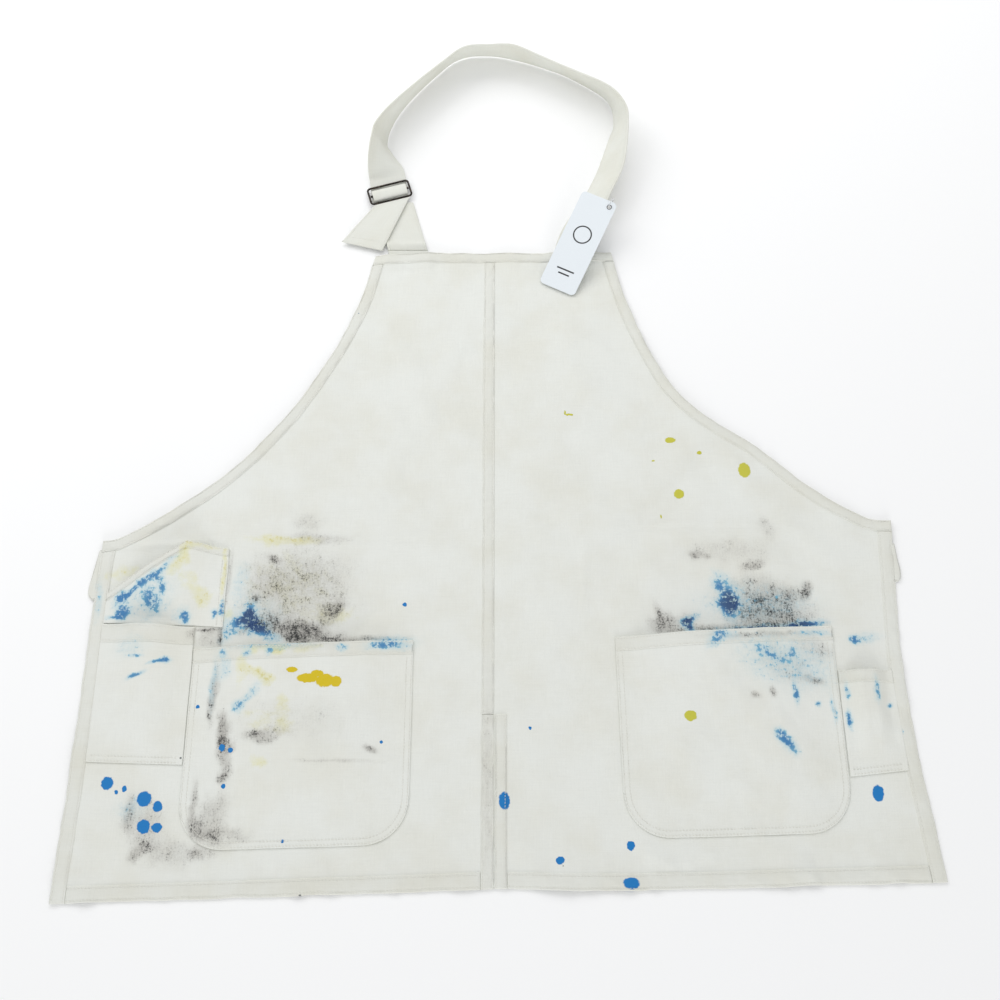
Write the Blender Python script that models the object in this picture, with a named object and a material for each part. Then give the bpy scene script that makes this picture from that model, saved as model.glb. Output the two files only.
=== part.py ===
"""An artist's smock apron of heavy cotton canvas, lying face up on a table.

Frame: +Z up from the table, +Y from the bottom hem to the neck strap, and the origin at the bottom
centre of the whole apron. A place is given as (x, v), where v is the height above the lowest hem corner.
Every neighbouring piece keeps a small gap, so the pieces stay separate solids.
"""

import math

import bmesh
import bpy
from mathutils import Euler, Matrix, Vector

# Driving dimensions, in metres
LENGTH = 0.950  # from the lowest hem corner to the top of the neck loop
GAP = 0.0003  # between neighbouring pieces
CANVAS = 0.0010  # one layer of canvas
HEM = 0.0024  # three layers, folded and stitched
STRAP_WIDTH = 0.040
STRAP = 0.0020  # folded strap canvas

# The garment's outline, each edge running anticlockwise with the cloth on its left
CENTRE_X = -0.0115  # the centre seam
BIB_LEFT = (-0.1345, 0.676)
BIB_RIGHT = (0.120, 0.6795)
BIB_TOP = [BIB_RIGHT, (-0.011, 0.6795), BIB_LEFT]
LEFT_ARMHOLE = [
    BIB_LEFT, (-0.157, 0.597), (-0.206, 0.502), (-0.263, 0.430), (-0.327, 0.377), (-0.372, 0.3495), (-0.391, 0.345),
]
RIGHT_ARMHOLE = [
    (0.3875, 0.367), (0.367, 0.3695), (0.339, 0.3835), (0.311, 0.403), (0.283, 0.428), (0.2545, 0.453),
    (0.225, 0.472), (0.196, 0.4955), (0.171, 0.5295), (0.148, 0.5805), (0.1325, 0.6265), BIB_RIGHT,
]
LEFT_SIDE = [(-0.391, 0.345), (-0.394, 0.255), (-0.395, 0.148), (-0.400, 0.0)]
RIGHT_SIDE = [(0.400, 0.019), (0.387, 0.1375), (0.3825, 0.216), (0.384, 0.269), (0.3875, 0.367)]
LEFT_HEM = [(-0.400, 0.0), (CENTRE_X + 0.006, 0.013)]
RIGHT_HEM = [(CENTRE_X + 0.006, 0.0135), (0.113, 0.0115), (0.400, 0.019)]

# Hems, bindings and seams
TOP_HEM_WIDTH = 0.012
BINDING_WIDTH = 0.012
SIDE_HEM_WIDTH = 0.014
BOTTOM_HEM_WIDTH = 0.015
SEAM_WIDTH = 0.012
SLIT_TOP = 0.171  # the panels are joined above this height and open below it
EDGE_OVERRUN = 0.020  # how far an edge is carried on, so that it crosses its neighbours

# Pockets. Each mouth stands a little open above the panel.
POCKET_GAPE = 0.0065
POCKET_STITCH = 0.005  # the flat stitched margin round a pocket
POCKET_HEM = 0.0018
# Over how far from its side and from its bottom seam each pocket rises to its gape
MAIN_RAMPS = (0.035, 0.045)
TOOL_RAMPS = (0.020, 0.030)
SIDE_RAMPS = (0.009, 0.025)
SLANT_RAMPS = (0.020, 0.015)
MAIN_CORNER = 0.042
MAIN_HEM_DEPTH = 0.014
LEFT_MAIN = [(-0.2925, 0.046), (-0.083, 0.052), (-0.0825, 0.243), (-0.292, 0.2345)]
RIGHT_MAIN = [(0.1135, 0.0565), (0.3215, 0.0625), (0.3185, 0.258), (0.110, 0.2465)]
TOOL_POCKET = [(-0.3785, 0.1265), (-0.2945, 0.124), (-0.2945, 0.2565), (-0.3785, 0.2595)]
TOOL_HEM_DEPTH = 0.018
SIDE_POCKET = [(0.3245, 0.113), (0.3665, 0.119), (0.3665, 0.2135), (0.3245, 0.2135)]
SIDE_HEM_DEPTH = 0.012
SLANT_LEFT = -0.3785
SLANT_RIGHT = -0.2655
SLANT_BOTTOM = 0.2625
SLANT_LOW = 0.290  # the low end of the slanted mouth, at the side hem
SLANT_PEAK = (-0.306, 0.343)
SLANT_TOP_RIGHT = 0.336
SLANT_HEM_DEPTH = 0.008

# Neck strap: (x, v, roll), where a roll of 90 degrees stands the strap on its edge
NECK_HINGE = 0.681  # height of the line where the neck loop folds on the bib
STRAP_ROUTE = [
    (0.079, 0.6815, 0), (0.0855, 0.702, 12), (0.099, 0.730, 34), (0.1085, 0.750, 42), (0.122, 0.782, 44),
    (0.1315, 0.825, 60), (0.1335, 0.850, 76), (0.119, 0.881, 103), (0.079, 0.9085, 114), (0.047, 0.925, 112),
    (0.017, 0.9375, 107), (-0.012, 0.9415, 113), (-0.0435, 0.9375, 113), (-0.071, 0.9125, 111),
    (-0.1025, 0.876, 104), (-0.122, 0.847, 92), (-0.132, 0.823, 75), (-0.1315, 0.8095, 60), (-0.129, 0.7955, 36),
    (-0.1265, 0.785, 8), (-0.125, 0.778, 0), (-0.1235, 0.768, 0), (-0.1205, 0.7485, 0),
]
STRAP_STEP = 0.008

# Slider, tail and tab at the left end of the strap
SLIDER_CENTRE = (-0.1218, 0.757)
SLIDER_TURN = math.radians(16.5)
SLIDER_SIZE = (0.048, 0.023)
SLIDER_WIRE = 0.0011  # radius
SLIDER_CORNER = 0.0045
SLIDER_Z = 0.0042
BAR_RADIUS = 0.0012
ARCH_WIDTH = 0.038
ARCH_INNER = (0.0058, 0.0034)
ARCH_CLOTH = 0.0014
TAIL_END = (-0.1550, 0.6835)
TAIL_HEADING = math.radians(242)
TAB_BASE = (-0.121, -0.078)
TAB_TOP = (-0.1365, -0.0955)
TAB_TOP_V = 0.7455

# Waist loops at the side hems: how far each stands out, and where
LEFT_LOOP = [(-0.3935, 0.336), (-0.3985, 0.306), (-0.400, 0.294), (-0.3985, 0.287), (-0.3945, 0.284)]
RIGHT_LOOP = [(0.3875, 0.303), (0.391, 0.307), (0.3915, 0.315), (0.390, 0.326), (0.3885, 0.343)]
LOOP_THICKNESS = 0.0020

# Card tag and its filament ring
TAG_SIZE = (0.041, 0.112)
TAG_THICKNESS = 0.0006
TAG_CORNER = 0.005
TAG_CENTRE = (0.0842, 0.6818)
TAG_HEIGHT = 0.0179
TAG_TURN = math.radians(-26.2)
TAG_PITCH = math.radians(14.7)
TAG_HOLE = (0.0135, 0.0495)
TAG_HOLE_RADIUS = 0.0020
RING_RADIUS = 0.0050
RING_WIRE = 0.00045

# How finely round things are drawn
TUBE_SIDES = 8
BAR_SIDES = 10
ARCH_STEPS = 10
HOLE_SIDES = 16
RING_STEPS = 24
SMOOTH_ANGLE = math.radians(40)


def clear_scene():
    for obj in list(bpy.data.objects):
        bpy.data.objects.remove(obj, do_unlink=True)


def at(x, v, z=0.0):
    """The point at (x, v) in the apron's own frame."""
    return Vector((x, v - LENGTH / 2, z))


# Flat curves


def smooth(points, per_span=5):
    """A Catmull-Rom curve through the points, in any number of dimensions."""
    ends = [Vector(p) for p in points]
    ends = [ends[0] * 2 - ends[1], *ends, ends[-1] * 2 - ends[-2]]
    curve = []
    for a, b, c, d in zip(ends, ends[1:], ends[2:], ends[3:]):
        for k in range(per_span):
            t = k / per_span
            curve.append(
                (b * 2 + (c - a) * t + (a * 2 - b * 5 + c * 4 - d) * t**2 + (b * 3 - a - c * 3 + d) * t**3) / 2
            )
    return [*curve, ends[-2]]


def inset(edge, width):
    """The edge moved to its left by width, and carried on past both of its ends."""
    edge = [Vector(p) for p in edge]
    run = [edge[0] - (edge[1] - edge[0]).normalized() * EDGE_OVERRUN, *edge]
    run.append(edge[-1] + (edge[-1] - edge[-2]).normalized() * EDGE_OVERRUN)
    moved = []
    for k, point in enumerate(run):
        along = (run[min(k + 1, len(run) - 1)] - run[max(k - 1, 0)]).normalized()
        moved.append(point + Vector((-along.y, along.x)) * width)
    return moved


def crossing(first, second):
    """Where two runs of points cross: (index in first, index in second, point)."""
    for i, (a, b) in enumerate(zip(first, first[1:])):
        for j, (c, d) in enumerate(zip(second, second[1:])):
            r, s = b - a, d - c
            turn = r.cross(s)
            if abs(turn) < 1e-12:
                continue
            t, u = (c - a).cross(s) / turn, (c - a).cross(r) / turn
            if 0 <= t <= 1 and 0 <= u <= 1:
                return i, j, a + r * t
    raise ValueError("two edges don't cross")


def outline(*edges):
    """The closed outline inside edges that each cross the next one, and the last one the first."""
    runs = [[Vector(p) for p in edge] for edge in edges]
    hits = [crossing(run, runs[(k + 1) % len(runs)]) for k, run in enumerate(runs)]
    points = []
    for k, run in enumerate(runs):
        enter, leave = hits[k - 1][1], hits[k][0]
        points.append(hits[k - 1][2])
        points.extend(run[enter + 1 : leave + 1] if enter <= leave else reversed(run[leave + 1 : enter + 1]))
    return points


# Solids


def material(name, colour, roughness, metallic=0.0):
    made = bpy.data.materials.new(name)
    made.use_nodes = True
    shader = made.node_tree.nodes["Principled BSDF"]
    shader.inputs["Base Color"].default_value = (*colour, 1.0)
    shader.inputs["Roughness"].default_value = roughness
    shader.inputs["Metallic"].default_value = metallic
    return made


def add(name, points, faces, finish, place=None, parent=None):
    """A named object from points in its own frame, with every face turned outwards."""
    mesh = bpy.data.meshes.new(name)
    mesh.from_pydata([tuple(p) for p in points], [], faces)
    shape = bmesh.new()
    shape.from_mesh(mesh)
    bmesh.ops.recalc_face_normals(shape, faces=shape.faces)
    shape.to_mesh(mesh)
    shape.free()
    mesh.shade_smooth()
    mesh.set_sharp_from_angle(angle=SMOOTH_ANGLE)
    obj = bpy.data.objects.new(name, mesh)
    obj.data.materials.append(finish)
    bpy.context.scene.collection.objects.link(obj)
    if parent:
        obj.parent = parent
    if place:
        obj.matrix_local = place
    return obj


def axis_at(name, place, parent=None):
    """An empty that a joint's pieces are placed from. place is in the apron's own frame."""
    made = bpy.data.objects.new(name, None)
    bpy.context.scene.collection.objects.link(made)
    if parent:
        made.parent = parent
        place = Matrix.Translation(-parent.location) @ place
    made.matrix_local = place
    bpy.context.view_layer.update()
    return made


def slab(name, edge, low, high, finish, **where):
    """A flat outline given thickness. Its points are (x, v), or local (x, y) when it has a place."""
    flat = [Vector((p[0], p[1], 0)) if where else at(p[0], p[1]) for p in edge]
    count = len(flat)
    points = [p + Vector((0, 0, low)) for p in flat] + [p + Vector((0, 0, high)) for p in flat]
    sides = [(k, (k + 1) % count, count + (k + 1) % count, count + k) for k in range(count)]
    return add(name, points, [tuple(range(count)), tuple(range(count, 2 * count)), *sides], finish, **where)


def shell(name, rows, thickness, finish):
    """A thin sheet through rows of points, given thickness upwards and closed round its rim."""
    wide, deep = len(rows[0]), len(rows)
    low = [p for row in rows for p in row]
    points = low + [p + Vector((0, 0, thickness)) for p in low]
    count = len(low)
    faces = []
    for j in range(deep - 1):
        for i in range(wide - 1):
            a = j * wide + i
            faces.append((a, a + 1, a + wide + 1, a + wide))
            faces.append((a + count, a + wide + count, a + wide + 1 + count, a + 1 + count))
    rim = list(range(wide)) + [j * wide + wide - 1 for j in range(1, deep)]
    rim += [(deep - 1) * wide + i for i in range(wide - 2, -1, -1)]
    rim += [j * wide for j in range(deep - 2, 0, -1)]
    for a, b in zip(rim, rim[1:] + rim[:1]):
        faces.append((a, b, b + count, a + count))
    return add(name, points, faces, finish)


def tube(name, centres, radius, finish, sides=TUBE_SIDES, **where):
    """A closed ring of round wire along local points that lie in one plane."""
    count = len(centres)
    normal = Vector((0, 0, 0))
    for k in range(count):
        normal += (centres[k] - centres[0]).cross(centres[(k + 1) % count] - centres[0])
    normal.normalize()
    points = []
    for k, centre in enumerate(centres):
        after = centres[(k + 1) % count]
        along = (after - centres[k - 1]).normalized()
        out = along.cross(normal)
        for s in range(sides):
            turn = 2 * math.pi * s / sides
            points.append(centre + out * (radius * math.cos(turn)) + normal * (radius * math.sin(turn)))
    faces = []
    for k in range(count):
        for s in range(sides):
            a, b = k * sides, ((k + 1) % count) * sides
            faces.append((a + s, a + (s + 1) % sides, b + (s + 1) % sides, b + s))
    return add(name, points, faces, finish, **where)


def rounded_box(width, height, radius, per_corner=5):
    """The outline of a flat box with round corners, about its own centre."""
    points = []
    for quarter, (sx, sy) in enumerate([(1, 1), (-1, 1), (-1, -1), (1, -1)]):
        for k in range(per_corner + 1):
            turn = math.pi / 2 * (quarter + k / per_corner)
            points.append(
                Vector((
                    sx * (width / 2 - radius) + radius * math.cos(turn),
                    sy * (height / 2 - radius) + radius * math.sin(turn),
                    0,
                ))
            )
    return points


def ease(t):
    """A smooth step from 0 to 1."""
    t = min(max(t, 0.0), 1.0)
    return t * t * (3 - 2 * t)


# The canvas body


def make_body(canvas, folded):
    left = smooth(LEFT_ARMHOLE)
    right = smooth(RIGHT_ARMHOLE)
    left_side = smooth(LEFT_SIDE, 3)
    right_side = smooth(RIGHT_SIDE, 3)
    right_hem = smooth(RIGHT_HEM, 3)
    seam_left = CENTRE_X - SEAM_WIDTH / 2
    seam_right = CENTRE_X + SEAM_WIDTH / 2

    def upright(x, going_up):
        low, high = (x, -EDGE_OVERRUN), (x, LENGTH)
        return [low, high] if going_up else [high, low]

    top = inset(BIB_TOP, TOP_HEM_WIDTH + GAP)
    slab(
        "left_front_panel",
        outline(
            top,
            inset(left, BINDING_WIDTH + GAP),
            inset(left_side, SIDE_HEM_WIDTH + GAP),
            inset(LEFT_HEM, BOTTOM_HEM_WIDTH + GAP),
            upright(seam_left - GAP, True),
        ),
        0, CANVAS, canvas,
    )
    slit_edge = seam_right + SEAM_WIDTH + GAP
    slab(
        "right_front_panel",
        outline(
            top,
            [(seam_right + GAP, LENGTH), (seam_right + GAP, SLIT_TOP + GAP), (slit_edge, SLIT_TOP + GAP),
             (slit_edge, -EDGE_OVERRUN)],
            inset(right_hem, BOTTOM_HEM_WIDTH + GAP),
            inset(right_side, SIDE_HEM_WIDTH + GAP),
            inset(right, BINDING_WIDTH + GAP),
        ),
        0, CANVAS, canvas,
    )
    slab(
        "bib_top_hem",
        outline(inset(BIB_TOP, 0), inset(left, 0), inset(BIB_TOP, TOP_HEM_WIDTH), inset(right, 0)),
        0, HEM, folded,
    )
    for name, arm, side in (("left", left, left_side), ("right", right, right_side)):
        slab(
            name + "_armhole_binding",
            outline(top, inset(arm, 0), inset(side, 0), inset(arm, BINDING_WIDTH)),
            0, HEM, folded,
        )
    for name, arm, side, hem in (
        ("left", left, left_side, LEFT_HEM),
        ("right", right, right_side, right_hem),
    ):
        slab(
            name + "_side_hem",
            outline(inset(arm, BINDING_WIDTH + GAP), inset(side, 0), inset(hem, 0), inset(side, SIDE_HEM_WIDTH)),
            0, HEM, folded,
        )
    slab(
        "left_bottom_hem",
        outline(
            inset(left_side, SIDE_HEM_WIDTH + GAP),
            inset(LEFT_HEM, 0),
            upright(seam_left - GAP, True),
            inset(LEFT_HEM, BOTTOM_HEM_WIDTH),
        ),
        0, HEM, folded,
    )
    slab(
        "right_bottom_hem",
        outline(
            inset(right_side, SIDE_HEM_WIDTH + GAP),
            inset(right_hem, BOTTOM_HEM_WIDTH),
            upright(slit_edge, True),
            inset(right_hem, 0),
        ),
        0, HEM, folded,
    )
    across_slit = [(seam_left - EDGE_OVERRUN, SLIT_TOP), (slit_edge + EDGE_OVERRUN, SLIT_TOP)]
    slab(
        "centre_seam",
        outline(
            top,
            upright(seam_left, False),
            [(x, v + GAP) for x, v in across_slit],
            upright(seam_right, True),
        ),
        0, HEM, folded,
    )
    slab(
        "left_slit_hem",
        outline(across_slit, upright(seam_right, False), inset(LEFT_HEM, 0), upright(seam_left, True)),
        0, HEM, folded,
    )
    slab(
        "right_slit_hem",
        outline(
            across_slit,
            upright(seam_right + SEAM_WIDTH, False),
            inset(right_hem, 0),
            upright(seam_right + GAP, True),
        ),
        0, HEM, folded,
    )


# Pockets


def pocket(name, bottom, top, hem_depth, corner, ramps, canvas, folded, columns=12, rows=8):
    """A patch sewn down along its sides and bottom, with a folded hem along its open mouth.

    bottom and top give the patch's lower and upper edge at a share s of its width.
    """
    side_ramp, bottom_ramp = ramps
    width = top(1.0).x - top(0.0).x
    shares = [0.5 - 0.5 * math.cos(math.pi * k / columns) for k in range(columns + 1)]

    def raised(s, share_up, low, high):
        from_side = min(s, 1 - s) * width - POCKET_STITCH
        from_bottom = (high - low).length * share_up - POCKET_STITCH
        lift = POCKET_GAPE * ease(from_side / side_ramp) * ease(from_bottom / bottom_ramp)
        return low.lerp(high, share_up) + Vector((0, 0, CANVAS + GAP + lift))

    def row(share_of_patch, from_mouth):
        points = []
        for s in shares:
            low, high = bottom(s), top(s)
            reach = min(s, 1 - s) * width
            if reach < corner:
                low = low + (high - low).normalized() * (corner - math.sqrt(corner**2 - (corner - reach) ** 2))
            tall = (high - low).length
            up = share_of_patch * (1 - (hem_depth + GAP) / tall) if from_mouth is None else 1 - from_mouth / tall
            points.append(raised(s, up, low, high))
        return points

    shell(name, [row(k / rows, None) for k in range(rows + 1)], CANVAS, canvas)
    shell(name + "_hem", [row(0, hem_depth), row(0, hem_depth / 2), row(0, 0)], POCKET_HEM, folded)


def corners(four):
    """The lower and upper edge of a four-cornered patch."""
    low_left, low_right, high_right, high_left = (at(*p) for p in four)
    return (lambda s: low_left.lerp(low_right, s)), (lambda s: high_left.lerp(high_right, s))


def make_pockets(canvas, folded):
    for name, four in (("left_main_pocket", LEFT_MAIN), ("right_main_pocket", RIGHT_MAIN)):
        pocket(name, *corners(four), MAIN_HEM_DEPTH, MAIN_CORNER, MAIN_RAMPS, canvas, folded)
    pocket("left_tool_pocket", *corners(TOOL_POCKET), TOOL_HEM_DEPTH, 0.0, TOOL_RAMPS, canvas, folded)
    pocket("right_side_pocket", *corners(SIDE_POCKET), SIDE_HEM_DEPTH, 0.0, SIDE_RAMPS, canvas, folded, columns=8)

    def slant_bottom(s):
        return at(SLANT_LEFT, SLANT_BOTTOM).lerp(at(SLANT_RIGHT, SLANT_BOTTOM), s)

    def slant_top(s):
        x = SLANT_LEFT + (SLANT_RIGHT - SLANT_LEFT) * s
        if x < SLANT_PEAK[0]:
            share = (x - SLANT_LEFT) / (SLANT_PEAK[0] - SLANT_LEFT)
            return at(x, SLANT_LOW + (SLANT_PEAK[1] - SLANT_LOW) * share)
        share = (x - SLANT_PEAK[0]) / (SLANT_RIGHT - SLANT_PEAK[0])
        return at(x, SLANT_PEAK[1] + (SLANT_TOP_RIGHT - SLANT_PEAK[1]) * share)

    pocket(
        "left_slant_pocket", slant_bottom, slant_top, SLANT_HEM_DEPTH, 0.0, SLANT_RAMPS, canvas, folded, columns=16
    )


# Neck strap, slider and tab


def make_strap(cloth, neck):
    """A flat ribbon along its route. Where it curves in its own plane it stands up on its edge."""
    flat = smooth([(x, v, math.radians(roll)) for x, v, roll in STRAP_ROUTE], 4)
    route = [flat[0]]
    for point in flat[1:-1]:
        if (point.xy - route[-1].xy).length >= STRAP_STEP:
            route.append(point)
    route.append(flat[-1])
    half, thick = STRAP_WIDTH / 2, STRAP / 2
    points = []
    for k, (x, v, roll) in enumerate(route):
        ahead, behind = route[min(k + 1, len(route) - 1)], route[max(k - 1, 0)]
        along = Vector((ahead.x - behind.x, ahead.y - behind.y, 0)).normalized()
        if k == 0:
            along = Vector((0, 1, 0))  # sewn square to the bib
        outward = Vector((along.y, -along.x, 0))
        across = outward * math.cos(roll) + Vector((0, 0, math.sin(roll)))
        face = along.cross(across)
        centre = at(x, v, GAP + thick + half * abs(math.sin(roll)))
        for side, up in ((1, 1), (1, -1), (-1, -1), (-1, 1)):
            points.append(centre + across * (half * side) + face * (thick * up))
    faces = [(0, 1, 2, 3), tuple(len(points) - 4 + k for k in range(4))]
    for k in range(len(route) - 1):
        for s in range(4):
            a, b = 4 * k + s, 4 * k + (s + 1) % 4
            faces.append((a, b, b + 4, a + 4))
    add("neck_strap", [p - neck.location for p in points], faces, cloth, Matrix(), neck)


def make_tab_and_slider(cloth, metal, neck):
    def on_neck(name, edge, low, high, parent, finish):
        shift = at(0, 0) - parent.matrix_world.translation
        points = [Vector(p) + shift.xy for p in edge]
        slab(name, points, low + shift.z, high + shift.z, finish, place=Matrix(), parent=parent)

    tab = [
        (TAB_BASE[0], NECK_HINGE + 0.0005), (TAB_BASE[1], NECK_HINGE + 0.0005),
        (TAB_TOP[1], TAB_TOP_V), (TAB_TOP[0], TAB_TOP_V),
    ]
    on_neck("buckle_tab", tab, GAP, GAP + STRAP, neck, cloth)

    place = Matrix.Translation(at(*SLIDER_CENTRE, SLIDER_Z)) @ Matrix.Rotation(SLIDER_TURN, 4, "Z")
    slider = axis_at("slider_axis", place, neck)
    wire_box = rounded_box(
        SLIDER_SIZE[0] - 2 * SLIDER_WIRE, SLIDER_SIZE[1] - 2 * SLIDER_WIRE, SLIDER_CORNER - SLIDER_WIRE
    )
    tube("slider_frame", wire_box, SLIDER_WIRE, metal, place=Matrix(), parent=slider)
    reach = SLIDER_SIZE[0] / 2 - 2 * SLIDER_WIRE - GAP
    sides = BAR_SIDES
    rim = [2 * math.pi * k / sides for k in range(sides)]
    ends = [
        Vector((x, BAR_RADIUS * math.cos(t), BAR_RADIUS * math.sin(t))) for x in (-reach, reach) for t in rim
    ]
    faces = [tuple(range(sides)), tuple(range(sides, 2 * sides))]
    faces += [(k, (k + 1) % sides, sides + (k + 1) % sides, sides + k) for k in range(sides)]
    add("slider_bar", ends, faces, metal, Matrix(), slider)

    # The strap's turn over the bar, seen inside the frame
    foot = 2 * GAP + STRAP - SLIDER_Z
    profile = []
    for grow, order in ((ARCH_CLOTH, range(ARCH_STEPS + 1)), (0.0, range(ARCH_STEPS, -1, -1))):
        for k in order:
            turn = math.pi * k / ARCH_STEPS
            profile.append(
                ((ARCH_INNER[0] + grow) * math.cos(turn), foot + (ARCH_INNER[1] + grow) * math.sin(turn))
            )
    count = len(profile)
    points = [Vector((x, y, z)) for x in (-ARCH_WIDTH / 2, ARCH_WIDTH / 2) for y, z in profile]
    faces = [tuple(range(count)), tuple(range(count, 2 * count))]
    faces += [(k, (k + 1) % count, count + (k + 1) % count, count + k) for k in range(count)]
    add("strap_turn_over_bar", points, faces, cloth, Matrix(), slider)

    # The strap's free end, which leaves the slider and lies across the tab
    inverse = slider.matrix_world.inverted()
    along = Vector((math.cos(TAIL_HEADING), math.sin(TAIL_HEADING)))
    across = Vector((-along.y, along.x)) * (STRAP_WIDTH / 2)
    ends = [Vector(TAIL_END) + across, Vector(TAIL_END) - across]
    start = -SLIDER_SIZE[1] / 2 - GAP
    tail = [(-STRAP_WIDTH / 2, start), (STRAP_WIDTH / 2, start)]
    tail += [(inverse @ at(p.x, p.y)).xy for p in ends]
    low = 2 * GAP + STRAP - SLIDER_Z
    slab("strap_tail", tail, low, low + STRAP, cloth, place=Matrix(), parent=slider)


# Waist loops and tag


def make_loops(cloth):
    for name, edge in (("left_waist_loop", LEFT_LOOP), ("right_waist_loop", RIGHT_LOOP)):
        slab(name, edge, 0, LOOP_THICKNESS, cloth)


def make_tag(card, nylon, neck):
    place = Euler((TAG_PITCH, 0, TAG_TURN)).to_matrix().to_4x4()
    place.translation = at(*TAG_CENTRE, TAG_HEIGHT)
    place.translation = place @ Vector((*TAG_HOLE, 0))
    pivot = axis_at("tag_pivot", place, neck)
    middle = Vector((*TAG_HOLE, 0))
    edge = [p - middle for p in rounded_box(*TAG_SIZE, TAG_CORNER)]
    tag = slab("hang_tag", edge, -TAG_THICKNESS / 2, TAG_THICKNESS / 2, card, place=Matrix(), parent=pivot)
    rim = [2 * math.pi * k / HOLE_SIDES for k in range(HOLE_SIDES)]
    punch_edge = [(TAG_HOLE_RADIUS * math.cos(t), TAG_HOLE_RADIUS * math.sin(t)) for t in rim]
    punch = slab("tag_hole_cutter", punch_edge, -0.002, 0.002, card, place=Matrix(), parent=pivot)
    punch.hide_render = True
    punch.display_type = "WIRE"
    cut = tag.modifiers.new("hole", "BOOLEAN")
    cut.operation = "DIFFERENCE"
    cut.object = punch
    ring = [
        Vector((0, RING_RADIUS * (1 + math.cos(t)), RING_RADIUS * math.sin(t)))
        for t in (2 * math.pi * k / RING_STEPS for k in range(RING_STEPS))
    ]
    tube("tag_ring", ring, RING_WIRE, nylon, sides=6, place=Matrix(), parent=pivot)


def main():
    clear_scene()
    canvas = material("canvas", (0.80, 0.81, 0.77), 0.92)
    folded = material("hemmed_canvas", (0.77, 0.78, 0.73), 0.92)
    cloth = material("strap_canvas", (0.78, 0.79, 0.73), 0.90)
    metal = material("antique_metal", (0.05, 0.045, 0.04), 0.38, 1.0)
    card = material("tag_card", (0.80, 0.83, 0.85), 0.55)
    nylon = material("tag_nylon", (0.85, 0.85, 0.85), 0.30)

    make_body(canvas, folded)
    make_pockets(canvas, folded)
    make_loops(folded)
    neck = axis_at("neck_hinge", Matrix.Translation(at(0, NECK_HINGE, GAP + STRAP / 2)))
    make_strap(cloth, neck)
    make_tab_and_slider(cloth, metal, neck)
    make_tag(card, nylon, neck)


main()
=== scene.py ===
"""The looks of an artist's smock apron, laid face up: canvas, stitching, paint stains, metal and card.

A place on the apron is (x, v) in metres, where v is the height above the lowest hem corner. Every cloth piece
carries a UV map named Cloth, also in metres, which the weave and the stains are drawn in.
"""

import math
from functools import partial

import bmesh
import bpy
import numpy as np
from mathutils import Euler, Matrix, Vector


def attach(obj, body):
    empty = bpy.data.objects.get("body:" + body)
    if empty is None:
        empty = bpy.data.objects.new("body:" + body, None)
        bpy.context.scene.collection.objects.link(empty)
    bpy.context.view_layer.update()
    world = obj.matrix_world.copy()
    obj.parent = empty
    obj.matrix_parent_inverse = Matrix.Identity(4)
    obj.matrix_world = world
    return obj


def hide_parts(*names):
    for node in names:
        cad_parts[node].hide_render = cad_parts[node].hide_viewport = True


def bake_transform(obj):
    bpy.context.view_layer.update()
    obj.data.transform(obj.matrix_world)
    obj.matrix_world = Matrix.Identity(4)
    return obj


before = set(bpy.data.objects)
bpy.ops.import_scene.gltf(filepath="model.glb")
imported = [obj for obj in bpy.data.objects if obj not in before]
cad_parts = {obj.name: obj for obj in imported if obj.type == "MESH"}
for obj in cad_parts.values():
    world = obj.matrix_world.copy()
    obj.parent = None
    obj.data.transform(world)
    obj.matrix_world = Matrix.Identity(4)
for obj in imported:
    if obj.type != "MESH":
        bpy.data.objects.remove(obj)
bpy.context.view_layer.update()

# The frame's sizes, in metres: first the whole length, the space between pieces, and how thick the cloth is
LENGTH = 0.950
GAP = 0.0003
CANVAS = 0.0010
HEM = 0.0024
STRAP = 0.0020
STRAP_WIDTH = 0.040
CENTRE_X = -0.0115
BIB_LEFT = (-0.1345, 0.676)
BIB_RIGHT = (0.120, 0.6795)
BIB_TOP = [BIB_RIGHT, (-0.011, 0.6795), BIB_LEFT]
LEFT_ARMHOLE = [
    BIB_LEFT, (-0.157, 0.597), (-0.206, 0.502), (-0.263, 0.430), (-0.327, 0.377), (-0.372, 0.3495),
    (-0.391, 0.345),
]
RIGHT_ARMHOLE = [
    (0.3875, 0.367), (0.367, 0.3695), (0.339, 0.3835), (0.311, 0.403), (0.283, 0.428), (0.2545, 0.453),
    (0.225, 0.472), (0.196, 0.4955), (0.171, 0.5295), (0.148, 0.5805), (0.1325, 0.6265), BIB_RIGHT,
]
LEFT_SIDE = [(-0.391, 0.345), (-0.394, 0.255), (-0.395, 0.148), (-0.400, 0.0)]
RIGHT_SIDE = [(0.400, 0.019), (0.387, 0.1375), (0.3825, 0.216), (0.384, 0.269), (0.3875, 0.367)]
LEFT_HEM = [(-0.400, 0.0), (CENTRE_X + 0.006, 0.013)]
RIGHT_HEM = [(CENTRE_X + 0.006, 0.0135), (0.113, 0.0115), (0.400, 0.019)]
TOP_HEM_WIDTH = 0.012
BINDING_WIDTH = 0.012
SIDE_HEM_WIDTH = 0.014
BOTTOM_HEM_WIDTH = 0.015
SEAM_WIDTH = 0.012
SLIT_TOP = 0.171
EDGE_OVERRUN = 0.020  # how far an edge is drawn past its ends, to find where it crosses others

POCKET_GAPE = 0.0065
POCKET_STITCH = 0.005
POCKET_HEM = 0.0018
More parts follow.
